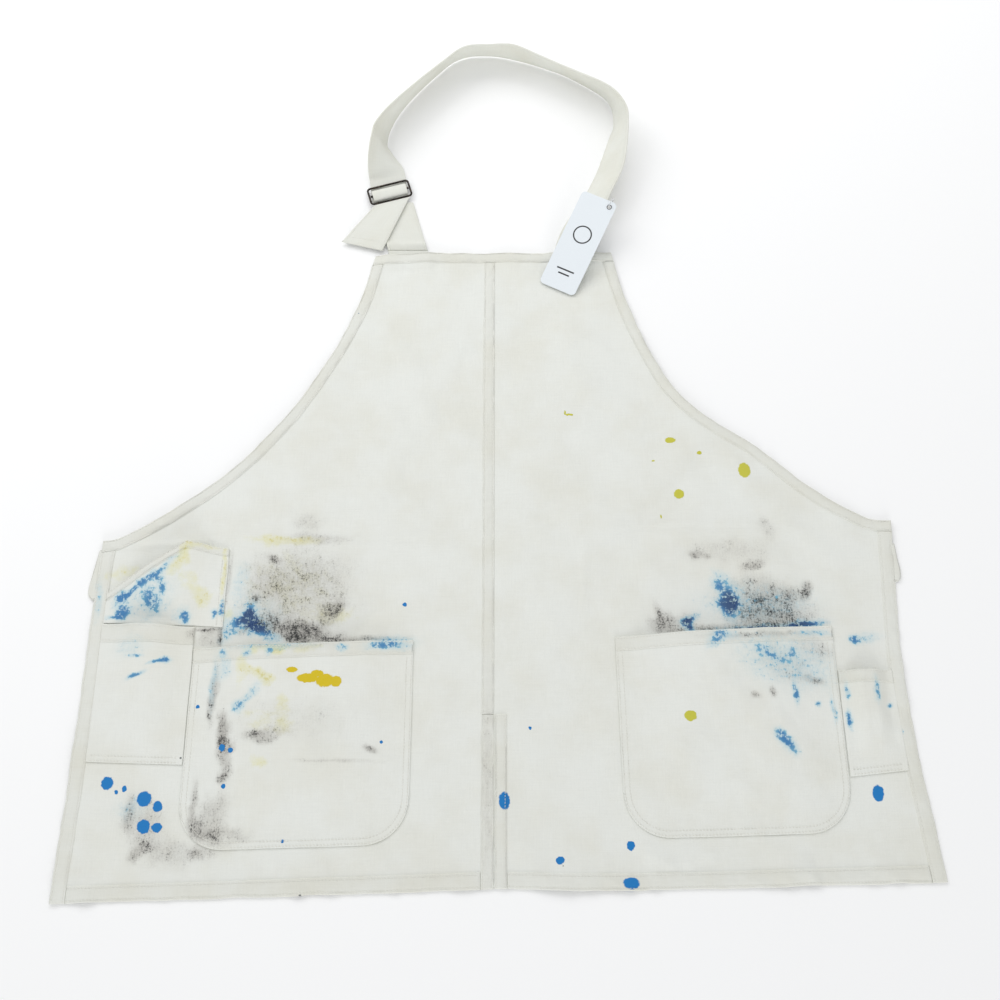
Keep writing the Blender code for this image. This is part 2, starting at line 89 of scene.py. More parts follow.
# name: (four corners from bottom left, hem depth, corner radius, rise from the side, rise from the bottom)
PATCH_POCKETS = {
    "left_main_pocket": (
        [(-0.2925, 0.046), (-0.083, 0.052), (-0.0825, 0.243), (-0.292, 0.2345)], 0.014, 0.042, 0.035, 0.045),
    "right_main_pocket": (
        [(0.1135, 0.0565), (0.3215, 0.0625), (0.3185, 0.258), (0.110, 0.2465)], 0.014, 0.042, 0.035, 0.045),
    "left_tool_pocket": (
        [(-0.3785, 0.1265), (-0.2945, 0.124), (-0.2945, 0.2565), (-0.3785, 0.2595)], 0.018, 0, 0.020, 0.030),
    "right_side_pocket": (
        [(0.3245, 0.113), (0.3665, 0.119), (0.3665, 0.2135), (0.3245, 0.2135)], 0.012, 0, 0.009, 0.025),
}
# How far the sides of the narrow pockets run on, into the side hem and up to the main pocket
CAUGHT = {
    "left_tool_pocket": (-0.0035, 0.0016, 0.0020, -0.0035),
    "right_side_pocket": (-0.0026, 0.0100, 0.0045, -0.0045),
}
SLANT_LEFT = -0.3810
SLANT_RIGHT = -0.2655
SLANT_FOOT = ((-0.381, -0.2925, -0.2655), (0.2603, 0.2574, 0.2552))  # x and v along it
SLANT_LOW = 0.290
SLANT_PEAK = (-0.306, 0.343)
SLANT_TOP_RIGHT = 0.336
SLANT_HEM_DEPTH = 0.008

NECK_HINGE = 0.681
HINGE_Z = 0.0013
# The strap's middle, from the right of the bib: x, v and its roll in degrees
STRAP_ROUTE = [
    (0.079, 0.6815, 0), (0.0855, 0.702, 12), (0.099, 0.730, 34), (0.1085, 0.750, 42), (0.122, 0.782, 44),
    (0.1315, 0.825, 60), (0.1335, 0.850, 76), (0.119, 0.881, 103), (0.079, 0.9085, 114), (0.047, 0.925, 112),
    (0.017, 0.9375, 107), (-0.012, 0.9415, 113), (-0.0435, 0.9375, 113), (-0.071, 0.9125, 111),
    (-0.1025, 0.876, 104), (-0.122, 0.847, 92), (-0.132, 0.823, 75), (-0.1315, 0.8095, 60),
    (-0.129, 0.7955, 36), (-0.1265, 0.785, 8), (-0.125, 0.778, 0), (-0.1235, 0.768, 0), (-0.1205, 0.7485, 0),
]
SLIDER_CENTRE = (-0.1218, 0.757)
SLIDER_TURN = math.radians(16.5)
SLIDER_SIZE = (0.048, 0.023)
SLIDER_WIRE = 0.0011
SLIDER_CORNER = 0.0045
SLIDER_Z = 0.0042
ARCH_WIDTH = 0.0384  # the strap's turn over the slider's bar
ARCH_INNER = (0.0058, 0.0034)
ARCH_CLOTH = 0.0014
TAIL_CORNERS = ((-0.1718, 0.6925), (-0.1272, 0.6812))
TAB_BASE = (-0.121, -0.078)  # x of the tab's left and right edges, at its foot and then at its top
TAB_TOP = (-0.1365, -0.0955)
TAB_TOP_V = 0.7455
TAB_WIDTH = 0.042
TAB_ROLL = 0.009  # how far above the tab's foot its roll is highest
# The outer edges of the waist loops
LEFT_LOOP = [(-0.3935, 0.336), (-0.3985, 0.306), (-0.400, 0.294), (-0.3985, 0.287), (-0.3945, 0.284)]
RIGHT_LOOP = [(0.3875, 0.303), (0.391, 0.307), (0.3915, 0.315), (0.390, 0.326), (0.3885, 0.343)]
TAG_SIZE = (0.041, 0.112)
TAG_THICKNESS = 0.0006
TAG_CORNER = 0.005
TAG_CENTRE = (0.0842, 0.6818)
TAG_HEIGHT = 0.0179
TAG_TURN = math.radians(-26.2)
TAG_PITCH = math.radians(14.7)
TAG_HOLE = (0.0135, 0.0495)
TAG_HOLE_RADIUS = 0.0020
RING_RADIUS = 0.0050
RING_WIRE = 0.00045

# How the cloth lies
UNDER = 0.0024  # how far a panel runs on under the hems beside it
PANEL_CELL = 0.0025  # the mesh of the panels, and then of the pockets
POCKET_CELL = 0.0018
EDGE_WOBBLE = 0.0005  # how uneven the apron's outer edges are
TUCK = 0.0024  # how far the bib's hem rises over the strap ends sewn behind it
TUCK_DEPTH = 0.013
# Fold creases and pulls in the cloth: start, end, height, half width
CREASES = [
    ((-0.385, 0.336), (-0.274, 0.3455), 0.0007, 0.0040),
    ((-0.274, 0.3455), (-0.025, 0.346), 0.0016, 0.0035),
    ((0.080, 0.359), (0.326, 0.359), 0.0016, 0.0035),
    ((0.083, 0.357), (0.081, 0.262), 0.0009, 0.0040),
    ((0.126, 0.047), (0.161, 0.030), 0.0014, 0.0060),
    ((0.161, 0.030), (0.198, 0.047), 0.0014, 0.0060),
    ((-0.045, 0.210), (-0.078, 0.120), 0.0014, 0.0090),
    ((-0.030, 0.120), (-0.066, 0.060), 0.0010, 0.0080),
    ((0.030, 0.330), (0.060, 0.180), 0.0010, 0.0120),
    ((-0.090, 0.500), (-0.030, 0.400), 0.0012, 0.0160),
    ((0.050, 0.620), (0.110, 0.440), 0.0012, 0.0160),
]
WEAVE_PITCH = 0.0011
STITCH_PITCH = 0.0031
STITCH_LENGTH = 0.0024
STITCH_RADIUS = 0.00030
STITCH_SHARE = 0.84  # where the strap is stitched, between its middle and its edge
STRAP_COLUMNS = 17  # points across the strap, its tail and its tab

# Dry stains rubbed into the canvas: (x, v, half width, half height) in millimetres, turn in degrees, strength
STAINS = {
    "body": {
        "charcoal": [
            (-192, 251.5, 34, 7.5, -8, 1.6), (-222, 260, 24, 11, 0, 0.75), (-195, 285, 50, 30, -8, 0.42),
            (-190, 318, 45, 22, 0, 0.3), (-241, 262, 13, 10, -40, 0.7), (221.5, 279, 8, 12, 8, 0.6),
            (181.5, 261, 6, 5, 0, 0.5), (-163, 270, 16, 8, 60, 0.5), (-228, 300, 20, 22, 0, 0.22),
            (-220.3, 326.4, 6, 3.5, -30, 0.85), (-159.5, 273.8, 7, 5, 60, 0.7),
            (-236, 286, 3.5, 3.5, 0, 1.1), (-130, 244, 28, 2.8, 2, 0.8), (-268, 247, 2, 10, 0, 1.5),
            (-279, 253.5, 13, 2, 0, 1.2), (-280, 247, 10, 8, 0, 0.38), (-264.5, 300, 1.8, 35, -4, 0.42),
            (-180, 349, 30, 5, 0, 0.38), (-192, 366, 14, 10, 0, 0.26), (-336.7, 78.6, 4, 16, 0, 0.58),
            (-322, 72, 17, 20, 15, 0.4), (-322.9, 45, 12, 6, 30, 0.52), (-302, 46, 26, 13, -15, 0.34),
            (-262, 50, 17, 10, 10, 0.34), (-275.2, 45, 8, 4, -20, 0.48), (253.8, 276.3, 22, 16, 0, 0.85),
            (280.8, 290, 10, 10, 60, 0.6), (296.5, 293.7, 8, 5, 60, 0.9), (245, 292, 36, 16, 0, 0.44),
            (285, 272, 22, 14, 0, 0.46), (156.2, 261, 12, 12, 30, 0.66), (153, 270, 4, 12, 10, 0.55),
            (172, 262, 18, 8, 0, 0.4), (191.1, 331, 6, 3.5, 0, 0.85), (203, 329, 4, 2.5, 0, 0.65),
            (246, 319.2, 12, 5, 20, 0.58), (226, 335, 45, 14, 0, 0.24), (262, 360, 8, 12, 30, 0.3),
            (232, 256.5, 60, 3.5, 2, 0.5), (195, 253.5, 50, 3, 2, 0.42), (260, 262, 40, 10, 0, 0.5),
            (-11.5, 110, 4.5, 90, 0, 0.24),
        ],
        "blue": [
            (-247.5, 265.5, 15, 5.2, 53, 1.5), (-234.5, 256, 12, 7.5, -40, 1.35),
            (-262.5, 250, 5, 10, 0, 0.62), (-221, 248.5, 12, 4, -20, 0.75), (-240, 266, 26, 18, 0, 0.3),
            (-109.7, 240, 13, 5.5, 0, 0.8), (-104, 241.5, 22, 6, 0, 0.5), (-388, 285, 4, 20, 0, 0.42),
            (-252, 302, 8, 18, 0, 0.26), (-335, 85, 14, 10, 30, 0.32), (221.5, 281.5, 8.8, 14.5, 8, 1.5),
            (214.2, 297.6, 4, 8, 0, 0.75), (181.7, 261, 6.5, 6.5, 0, 1.35), (186, 266.5, 6, 3.5, 30, 0.95),
            (296.4, 260.5, 15, 3.4, 5, 1.6), (250, 256.5, 45, 2.2, 3, 1), (214, 306, 10, 8, 0, 0.45),
            (248, 280, 50, 20, 0, 0.34), (340, 244, 5.5, 3.5, 0, 1.25), (349.3, 245.5, 14, 5, 8, 0.42),
            (373.2, 154.1, 1.8, 2.4, 0, 0.9), (310.4, 150, 6, 12, 0, 0.34),
        ],
        "yellow": [
            (-216, 346.3, 30, 5, 0, 0.9), (-190, 347, 18, 4, 0, 0.45), (-205, 300, 40, 28, 0, 0.34),
            (-166, 268, 24, 10, 0, 0.58), (-366, 312, 16, 8, 20, 0.5), (-261.5, 268, 4, 6, 0, 0.85),
        ],
    },
    "pocket": {
        "charcoal": [
            (-215, 238, 52, 5, 0, 0.4), (-269.5, 180.5, 3.5, 20, -3, 0.52), (-257.5, 155.3, 4.5, 16, 2, 1.1),
            (-254.5, 140, 6, 20, 0, 0.55), (-255, 111.3, 4, 4, 0, 0.75), (-252, 125, 6, 20, 0, 0.36),
            (-268, 196, 4, 20, 0, 0.48), (-224.6, 148.9, 12, 5.5, -5, 0.8), (-215, 152, 20, 6, 0, 0.28),
            (-279.4, 92.3, 3.5, 16, 0, 0.6), (-274.5, 65.5, 6, 14, 20, 0.68), (-261, 59.5, 12, 6, -25, 0.68),
            (-262, 80, 12, 18, -30, 0.44), (-243, 62, 18, 7, -10, 0.42), (-120, 138.5, 6.5, 3, -25, 0.95),
            (-190, 165, 60, 20, 0, 0.14), (-293.5, 250, 8, 6, 0, 0.45), (-150, 126.5, 35, 1.6, 0, 0.34),
            (294.8, 203.8, 10, 3.5, -10, 0.85), (240, 188.4, 4.5, 3, -20, 0.75),
            (256.3, 192, 3, 5, 10, 0.75), (300, 235, 18, 12, 0, 0.34), (270, 218, 30, 14, -30, 0.27),
            (245, 247.5, 50, 3, 2, 0.5),
        ],
        "blue": [
            (-235, 187, 15, 4.8, 54, 0.52), (-243.5, 176.5, 6, 5, 54, 0.6), (-270, 200, 3, 24, 0, 0.42),
            (-262, 215, 6, 12, 0, 0.4), (-222, 238, 40, 6, 0, 0.52), (-240, 228.5, 4, 4, 0, 0.85),
            (-262.5, 229, 4, 4, 0, 0.85), (-219.5, 230, 4, 4, 0, 0.85), (-109.7, 237.5, 14, 5, 0, 0.8),
            (-104, 237.5, 22, 6, 0, 0.48), (-150, 234.5, 6, 3, 0, 0.75), (-342, 302, 31, 3.2, 41, 1.1),
            (-364, 286, 8, 4.5, 45, 1.5), (-364, 270, 6.5, 6, 10, 1.5), (-370, 265.5, 8, 2, 0, 0.9),
            (-340.3, 283.4, 5, 12, 10, 0.7), (-333, 279, 6, 8, 0, 0.55), (-326.2, 295, 4, 6.5, 0, 0.9),
            (-331, 304, 4.2, 3.5, 0, 1), (-302.2, 266.9, 4.4, 5.2, 0, 1.35), (-306, 268, 10, 8, 0, 0.32),
            (-267.2, 273.8, 2.8, 6.5, 0, 1.35), (-275.1, 269.9, 4, 4, 30, 1.3),
            (-340, 285, 30, 20, 35, 0.32), (-352, 235, 16, 10, 0, 0.27), (-317, 222.5, 4.8, 3.2, 12, 1.8),
            (-325.5, 220, 8, 1.5, 12, 1.1), (-343.4, 207.9, 8.5, 1.9, 25, 1.2),
            (-345.4, 226.5, 7, 1.3, 0, 0.9), (204.2, 242.1, 11, 5, 35, 0.7), (212, 247, 14, 5, 0, 0.52),
            (250.4, 232, 12, 5, -20, 0.52), (262, 224, 10, 4, -30, 0.42), (275.6, 230.8, 5, 5.5, 10, 0.58),
            (272, 222, 44, 24, -15, 0.4), (261.6, 147, 5, 8.5, 25, 1.45), (269, 140, 9, 5.5, -45, 0.8),
            (277.6, 190.2, 2.4, 10, 6, 1.2), (298.1, 181.1, 2.8, 2.4, 0, 1.1),
            (312.9, 175.7, 2.2, 12, 5, 0.7), (300, 250, 16, 3, 3, 0.6), (326.2, 166, 2.6, 8.5, 8, 1.6),
            (326.5, 193.8, 2.2, 8, 0, 0.95), (353.8, 193.8, 3.6, 11, 5, 0.9), (365.5, 179.3, 2.6, 2.4, 0, 1),
        ],
        "yellow": [
            (-228.9, 209.8, 9.5, 5, -15, 1.15), (-218, 204, 6, 6, -40, 0.95), (-201.8, 178.7, 7, 9, 0, 0.66),
            (-200.7, 160.7, 6.5, 8, 0, 0.66), (-222, 164, 14, 10, 0, 0.4), (-219.6, 127, 7.5, 6.5, 0, 0.8),
            (-214.2, 234.5, 7.5, 6, 0, 1.3), (-232.4, 234.5, 5, 6, 0, 0.95), (-200, 236, 28, 5, 0, 0.6),
            (-243, 215, 5, 18, 0, 0.62), (-307.8, 329, 6, 13, -25, 0.95), (-285.2, 284, 9, 8, -30, 0.72),
            (-300, 300, 12, 10, -40, 0.45), (-269, 310, 2.2, 30, 0, 0.8), (-290, 338, 20, 3, -8, 0.55),
            (-315, 315, 14, 4, 45, 0.55),
        ],
    },
}
# Thick drops of paint, by colour: (x, v, half width, half height) in millimetres
DROPS = {
    "blue_drop": [
        (-360, 107, 5.5, 6), (-325, 93, 6.6, 6.8), (-312, 86, 4.4, 4.8), (-323, 68, 5.8, 6.2),
        (-311, 67, 4.8, 4.4), (-344, 102, 2.2, 3), (-351, 99, 1.6, 2), (-253, 104, 2.2, 2.2),
        (-283, 178, 1.8, 1.8), (-256.9, 139, 3, 3.2), (-248.3, 136.5, 2.4, 2.4), (346, 98, 5.2, 7.5),
        (4, 91, 5, 8), (54, 38, 4, 3.5), (118, 51, 3.6, 4), (117, 18, 7.2, 5.2), (-110, 145, 1.6, 1.6),
        (-92, 279, 2.2, 1.8), (-196, 55, 1.6, 1.6), (28, 158, 1.4, 1.6),
    ],
    "yellow_drop": [
        (173, 455, 5.2, 3.2), (202, 441, 2.4, 2), (246, 421.5, 6.2, 8.2), (179, 396, 5, 5.2),
        (177, 168, 5.8, 5), (155, 432, 1.8, 1), (71, 483.5, 4.5, 1.1), (66.5, 485.5, 1, 2.6),
        (160, 372, 0.8, 1.8),
    ],
    "mustard_drop": [
        (-181, 204.5, 10, 4.4), (-164.5, 202, 8.5, 6.2), (-196, 212.5, 5.2, 2.6), (-154, 201, 5.2, 5.2),
        (-172, 209, 6, 3),
    ],
}
PAINT = {
    "blue_drop": (0.010, 0.190, 0.520),
    "yellow_drop": (0.560, 0.540, 0.060),
    "mustard_drop": (0.660, 0.500, 0.012),
}


# Curves and grids of points


def smooth(points, per_span=5):
    """A Catmull-Rom curve through the points, in any number of dimensions."""
    points = np.asarray(points, float)
    ends = np.vstack([2 * points[0] - points[1], points, 2 * points[-1] - points[-2]])
    curve = []
    for a, b, c, d in zip(ends, ends[1:], ends[2:], ends[3:]):
        for k in range(per_span):
            t = k / per_span
            bend, twist = a * 2 - b * 5 + c * 4 - d, b * 3 - a - c * 3 + d
            curve.append((b * 2 + (c - a) * t + bend * t**2 + twist * t**3) / 2)
    return np.array([*curve, points[-1]])


def unit(vectors):
    return vectors / np.maximum(np.linalg.norm(vectors, axis=-1, keepdims=True), 1e-12)


def inset(edge, width, overrun=EDGE_OVERRUN):
    """The edge moved to its left by width, and carried on past both of its ends."""
    edge = np.asarray(edge, float)
    run = np.vstack([
        edge[0] - unit(edge[1] - edge[0]) * overrun, edge, edge[-1] + unit(edge[-1] - edge[-2]) * overrun,
    ])
    last = len(run) - 1
    ahead = run[np.minimum(np.arange(len(run)) + 1, last)]
    behind = run[np.maximum(np.arange(len(run)) - 1, 0)]
    along = unit(ahead - behind)
    return run + np.stack([-along[:, 1], along[:, 0]], axis=1) * width


def crossing(first, second):
    """Where two runs of points cross: (index in first, index in second, point)."""
    for i, (a, b) in enumerate(zip(first, first[1:])):
        for j, (c, d) in enumerate(zip(second, second[1:])):
            r, s, gap = b - a, d - c, c - a
            turn = r[0] * s[1] - r[1] * s[0]
            if abs(turn) < 1e-12:
                continue
            t, u = (gap[0] * s[1] - gap[1] * s[0]) / turn, (gap[0] * r[1] - gap[1] * r[0]) / turn
            if 0 <= t <= 1 and 0 <= u <= 1:
                return i, j, a + r * t
    raise ValueError("two edges don't cross")


def runs(*edges):
    """The stretch of each edge between the two that it crosses, in order round the outline."""
    edges = [np.asarray(edge, float) for edge in edges]
    hits = [crossing(edge, edges[(k + 1) % len(edges)]) for k, edge in enumerate(edges)]
    found = []
    for k, edge in enumerate(edges):
        enter, leave = hits[k - 1][1], hits[k][0]
        between = edge[enter + 1 : leave + 1] if enter <= leave else edge[leave + 1 : enter + 1][::-1]
        found.append(np.array([hits[k - 1][2], *between, hits[k][2]]))
    return found


def lengths(run):
    """How far along the run each of its points is."""
    return np.concatenate([[0.0], np.cumsum(np.linalg.norm(np.diff(run, axis=0), axis=1))])


def at_lengths(run, wanted):
    """The points at the wanted distances along a run."""
    far = lengths(run)
    return np.stack([np.interp(wanted, far, run[:, k]) for k in range(run.shape[1])], axis=1)


def resample(run, count):
    return at_lengths(run, np.linspace(0, lengths(run)[-1], count))


def level_grid(left, right, cell):
    """A grid between two sides that both run from the top down, in near-level rows."""
    rows = int(abs(left[0][1] - left[-1][1]) / cell)
    widest = max(abs(left[:, 0].min() - right[:, 0].max()), cell)
    share = np.linspace(0, 1, rows + 1)
    sides = []
    for run in (left, right):
        v = run[0, 1] + (run[-1, 1] - run[0, 1]) * share
        sides.append(np.stack([np.interp(-v, -run[:, 1], run[:, 0]), v], axis=1))
    across = np.linspace(0, 1, int(widest / cell) + 1)[None, :, None]
    return sides[0][:, None] * (1 - across) + sides[1][:, None] * across


def column(grid, place_of):
    """The run down a grid at a column that may lie between two others."""
    k = min(int(place_of), grid.shape[1] - 2)
    share = place_of - k
    return grid[:, k] * (1 - share) + grid[:, k + 1] * share


def strip_grid(first, second, cell, across):
    """A grid between the two long sides of a strip."""
    count = max(int(lengths(first)[-1] / cell), 2) + 1
    share = np.linspace(0, 1, across)[None, :, None]
    return resample(first, count)[:, None] * (1 - share) + resample(second, count)[:, None] * share


def joined(*parts):
    """One array of points from their separate coordinates."""
    return np.stack(np.broadcast_arrays(*parts), axis=-1)


def place(x, v, z):
    """Points in the row frame."""
    return joined(x, v - LENGTH / 2, z)


def ease(t):
    t = np.clip(t, 0.0, 1.0)
    return t * t * (3 - 2 * t)


def noise(x, y, seed):
    """Smooth noise from -1 to 1, with one feature to each unit."""
    lattice = np.random.default_rng(seed).uniform(-1, 1, (64, 64))
    i, j = np.floor(x).astype(int), np.floor(y).astype(int)
    s, t = ease(x - i), ease(y - j)
    low = lattice[i % 64, j % 64] * (1 - s) + lattice[(i + 1) % 64, j % 64] * s
    high = lattice[i % 64, (j + 1) % 64] * (1 - s) + lattice[(i + 1) % 64, (j + 1) % 64] * s
    return low * (1 - t) + high * t


# The lie of the cloth


ARM_LEFT = smooth(LEFT_ARMHOLE)
ARM_RIGHT = smooth(RIGHT_ARMHOLE)
SIDE_LEFT = smooth(LEFT_SIDE, 3)
SIDE_RIGHT = smooth(RIGHT_SIDE, 3)
HEM_RIGHT = smooth(RIGHT_HEM, 3)
SEAM_LEFT = CENTRE_X - SEAM_WIDTH / 2
SEAM_RIGHT = CENTRE_X + SEAM_WIDTH / 2


def nearest(x, v, run):
    """Each point's distance from a run, and how far along the run its nearest point is."""
    points = np.stack([x, v], axis=-1).reshape(-1, 1, 2)
    start, step = run[:-1], np.diff(run, axis=0)
    share = np.clip(((points - start) * step).sum(-1) / (step**2).sum(-1), 0, 1)
    away = np.linalg.norm(points - start - step * share[..., None], axis=-1)
    best = away.argmin(axis=1)
    pick = np.arange(len(best))
    along = lengths(run)[best] + share[pick, best] * np.linalg.norm(step, axis=1)[best]
    return away[pick, best].reshape(x.shape), along.reshape(x.shape)


def puckers(x, v):
    """Small gathers that the stitched edges pull into the cloth beside them."""
    total = np.zeros_like(x)
    sewn = [
        (ARM_LEFT, 0.0005), (ARM_RIGHT, 0.0005), (SIDE_LEFT, 0.0007), (SIDE_RIGHT, 0.0007),
        (np.array(LEFT_HEM), 0.0010), (HEM_RIGHT, 0.0010), (np.array(BIB_TOP), 0.0005),
        (np.array([(CENTRE_X, 0.0), (CENTRE_X, 0.680)]), 0.0006),
    ]
    for seed, (run, height) in enumerate(sewn):
        away, along = nearest(x, v, run)
        ripple = noise(along / 0.011, away / 0.030 + 5, 20 + seed)
        ripple = ripple + 0.6 * noise(along / 0.026, away / 0.05, 40 + seed)
        total += height * ripple * np.exp(-((away / 0.026) ** 2))
    return total


def ground(x, v):
    """How far the cloth's underside stands off the table at (x, v)."""
    x, v = np.asarray(x, float), np.asarray(v, float)
    bend = 0.03 * noise(x / 0.16, v / 0.16, 9)
    height = 0.0013 * (noise((x + bend) / 0.090, (v - bend) / 0.120, 1) + 0.7)
    height += 0.0014 * noise((x - 0.6 * v + bend) / 0.034, (v + 0.6 * x) / 0.110, 2)
    height += 0.0012 * noise((x + 0.9 * v + bend) / 0.026, (v - 0.9 * x) / 0.080, 3)
    height += 0.00028 * noise(x / 0.012, v / 0.012, 4)
    for start, end, tall, wide in CREASES:
        away, along = nearest(x, v, np.array([start, end]))
        span = math.dist(start, end)
        away = away + 0.0015 * noise(along / 0.02, away / 0.02, 8)
        fade = ease(along / (0.25 * span)) * ease((span - along) / (0.25 * span))
        height += tall * np.exp(-((away / wide) ** 2)) * fade
    height += puckers(x, v)
    height *= 1 - 0.75 * np.exp(-((x - 0.062) ** 2 + (v - 0.645) ** 2) / 0.045**2)  # clear of the card tag
    for middle in (STRAP_ROUTE[0][0], sum(TAB_BASE) / 2):
        beside = ease((0.034 - np.abs(x - middle)) / 0.012)
        height = np.maximum(height, 0) + TUCK * beside * ease((v - 0.655) / 0.011)
    return np.maximum(height, 0.0001)


# Stains, as densities on the mesh


def stain(x, v, patches, seed):
    """How much of one colour is rubbed into the cloth at (x, v)."""
    total = np.zeros_like(x)
    shift_x = 0.004 * noise(x / 0.010, v / 0.010, seed) + 0.002 * noise(x / 0.004, v / 0.004, seed + 1)
    shift_v = 0.004 * noise(x / 0.010, v / 0.010, seed + 2) + 0.002 * noise(x / 0.004, v / 0.004, seed + 3)
    for *spot, turn, strength in patches:
        mid_x, mid_v, wide, tall = (k / 1000 for k in spot)
        fit = min(1.0, min(wide, tall) / 0.008)  # small marks stay crisp
        dx, dv = x + shift_x * fit - mid_x, v + shift_v * fit - mid_v
        c, s = math.cos(math.radians(turn)), math.sin(math.radians(turn))
        far = ((dx * c + dv * s) / wide) ** 2 + ((dv * c - dx * s) / tall) ** 2
        total += strength * np.exp(-(far**1.3))
    return 1.35 * (1 - np.exp(-total / 0.8))


# Meshes


def finished(obj, finish, body, replaces=()):
    """Links a piece with its finish, puts it under its body's empty, and hides the nodes that it stands for.
    """
    obj.data.materials.clear()
    obj.data.materials.append(finish)
    bpy.context.scene.collection.objects.link(obj)
    if body:
        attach(obj, body)
    if replaces:
        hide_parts(*replaces)
    return obj


def mesh_object(name, points, faces, uv=None):
    mesh = bpy.data.meshes.new(name)
    mesh.from_pydata(np.asarray(points).tolist(), [], faces)
    shape = bmesh.new()
    shape.from_mesh(mesh)
    bmesh.ops.recalc_face_normals(shape, faces=shape.faces)
    shape.to_mesh(mesh)
    shape.free()
    mesh.shade_smooth()
    if uv is not None:
        corner = np.empty(len(mesh.loops), np.int32)
        mesh.loops.foreach_get("vertex_index", corner)
        mesh.uv_layers.new(name="Cloth").data.foreach_set("uv", uv[corner].astype(np.float32).ravel())
    return bpy.data.objects.new(name, mesh)


def cloth(name, top, under, finish, slot, body, uv=None, replaces=(), layer=None):
    """A closed sheet of cloth between two grids of points, with a rounded rim."""
    rows, columns = top.shape[:2]
    count = rows * columns
    uv = np.stack([top[..., 0], top[..., 1] + LENGTH / 2], axis=-1) if uv is None else uv
    uv = uv.reshape(-1, 2)
    index = np.arange(count).reshape(rows, columns)
    rim = np.concatenate([index[0, :-1], index[:-1, -1], index[-1, :0:-1], index[:0:-1, 0]])
    row, column = np.divmod(rim, columns)
    inside = np.clip(row, 1, rows - 2) * columns + np.clip(column, 1, columns - 2)
    upper, lower = top.reshape(-1, 3).copy(), under.reshape(-1, 3).copy()
    middle = (upper + lower) / 2
    edge, half = middle[rim], (upper - lower)[rim] / 2
    out = unit(np.cross(np.roll(edge, -1, 0) - np.roll(edge, 1, 0), half))
    out *= np.sign((out * (edge - middle[inside])).sum(1, keepdims=True))
    out *= np.linalg.norm(half, axis=1, keepdims=True)
    rings = [edge + half * math.sin(t) - out * (1 - math.cos(t)) for t in (math.pi / 4, 0, -math.pi / 4)]
    upper[rim] -= out
    lower[rim] -= out
    points = np.vstack([upper, lower, *rings])
    quads = np.stack([index[:-1, :-1], index[:-1, 1:], index[1:, 1:], index[1:, :-1]], axis=-1).reshape(-1, 4)
    ladder = [rim] + [2 * count + k * len(rim) + np.arange(len(rim)) for k in range(3)] + [rim + count]
    sides = [np.stack([a, np.roll(a, -1), np.roll(b, -1), b], axis=1) for a, b in zip(ladder, ladder[1:])]
    faces = np.vstack([quads, quads[:, ::-1] + count, *sides]).tolist()
    uv = np.vstack([uv, uv, *([uv[rim]] * 3)])
    obj = mesh_object(name, points, faces, uv)
    if layer:
        for seed, (colour, patches) in enumerate(STAINS[layer].items()):
            density = stain(uv[:, 0], uv[:, 1], patches, 60 + 10 * seed)
            made = obj.data.attributes.new(colour, "FLOAT", "POINT")
            made.data.foreach_set("value", density.astype(np.float32))
    return finished(obj, finish, body, replaces)


def stitches(name, rows, body):
    """Thread stitches along rows of points, each a closed grain whose ends dip into the cloth.

    A row is its points, or its points and the way that each of them faces.
    """
    far, thick, high = np.array([(-1, 0.35, -0.9), (-0.6, 0.9, 0.15), (0.6, 0.9, 0.15), (1, 0.35, -0.9)]).T
    sides, stations = 6, len(far)
    turn = 2 * math.pi * np.arange(sides) / sides
    grains = []
    for row in rows:
        row, ups = row if isinstance(row, tuple) else (row, np.tile([0.0, 0.0, 1.0], (len(row), 1)))
        middles = (np.arange(int(lengths(row)[-1] / STITCH_PITCH)) + 0.5) * STITCH_PITCH
        along = unit(at_lengths(row, middles + 0.0008) - at_lengths(row, middles - 0.0008))
        away = np.stack([np.interp(middles, lengths(row), ups[:, k]) for k in range(3)], axis=1)
        across = unit(np.cross(away, along))
        away = np.cross(along, across)
        c, t, b, n = (part[:, None, None] for part in (at_lengths(row, middles), along, across, away))
        step = (far * STITCH_LENGTH / 2)[:, None, None]
        wide = STITCH_RADIUS * (thick[:, None] * np.cos(turn))[..., None]
        tall = STITCH_RADIUS * (high[:, None] + thick[:, None] * np.sin(turn))[..., None]
        grains.append(c + t * step + b * wide + n * tall)
    points = np.concatenate(grains).reshape(-1, 3)
    ring = np.arange(stations * sides).reshape(stations, sides)
    shell = np.stack([ring[:-1], np.roll(ring, -1, 1)[:-1], np.roll(ring, -1, 1)[1:], ring[1:]], axis=-1)
    one = [*shell.reshape(-1, 4).tolist(), ring[0].tolist(), ring[-1].tolist()]
    faces = [[first + k for k in face] for first in range(0, len(points), ring.size) for face in one]
    obj = mesh_object(name, points, faces, points[:, :2] + np.array([0, LENGTH / 2]))
    return finished(obj, THREAD, body)


def tube(name, centres, radius, finish, slot, body, to_row, sides=12, replaces=()):
    """A closed loop of round wire along local points in one plane, moved into the row frame by to_row."""
    centres = np.array(centres, float)
    ahead, behind = np.roll(centres, -1, 0), np.roll(centres, 1, 0)
    normal = unit(np.cross(centres - centres[0], ahead - centres[0]).sum(0))
    out = np.cross(unit(ahead - behind), normal)
    turn = 2 * math.pi * np.arange(sides)[:, None] / sides
    round_it = out[:, None] * np.cos(turn) + normal * np.sin(turn)
    points = to_points(to_row, centres[:, None] + radius * round_it).reshape(-1, 3)
    ring = np.arange(len(points)).reshape(-1, sides)
    beside = np.roll(ring, -1, 1)
    faces = np.stack([ring, beside, np.roll(beside, -1, 0), np.roll(ring, -1, 0)], axis=-1).reshape(-1, 4)
    return finished(mesh_object(name, points, faces.tolist()), finish, body, replaces)


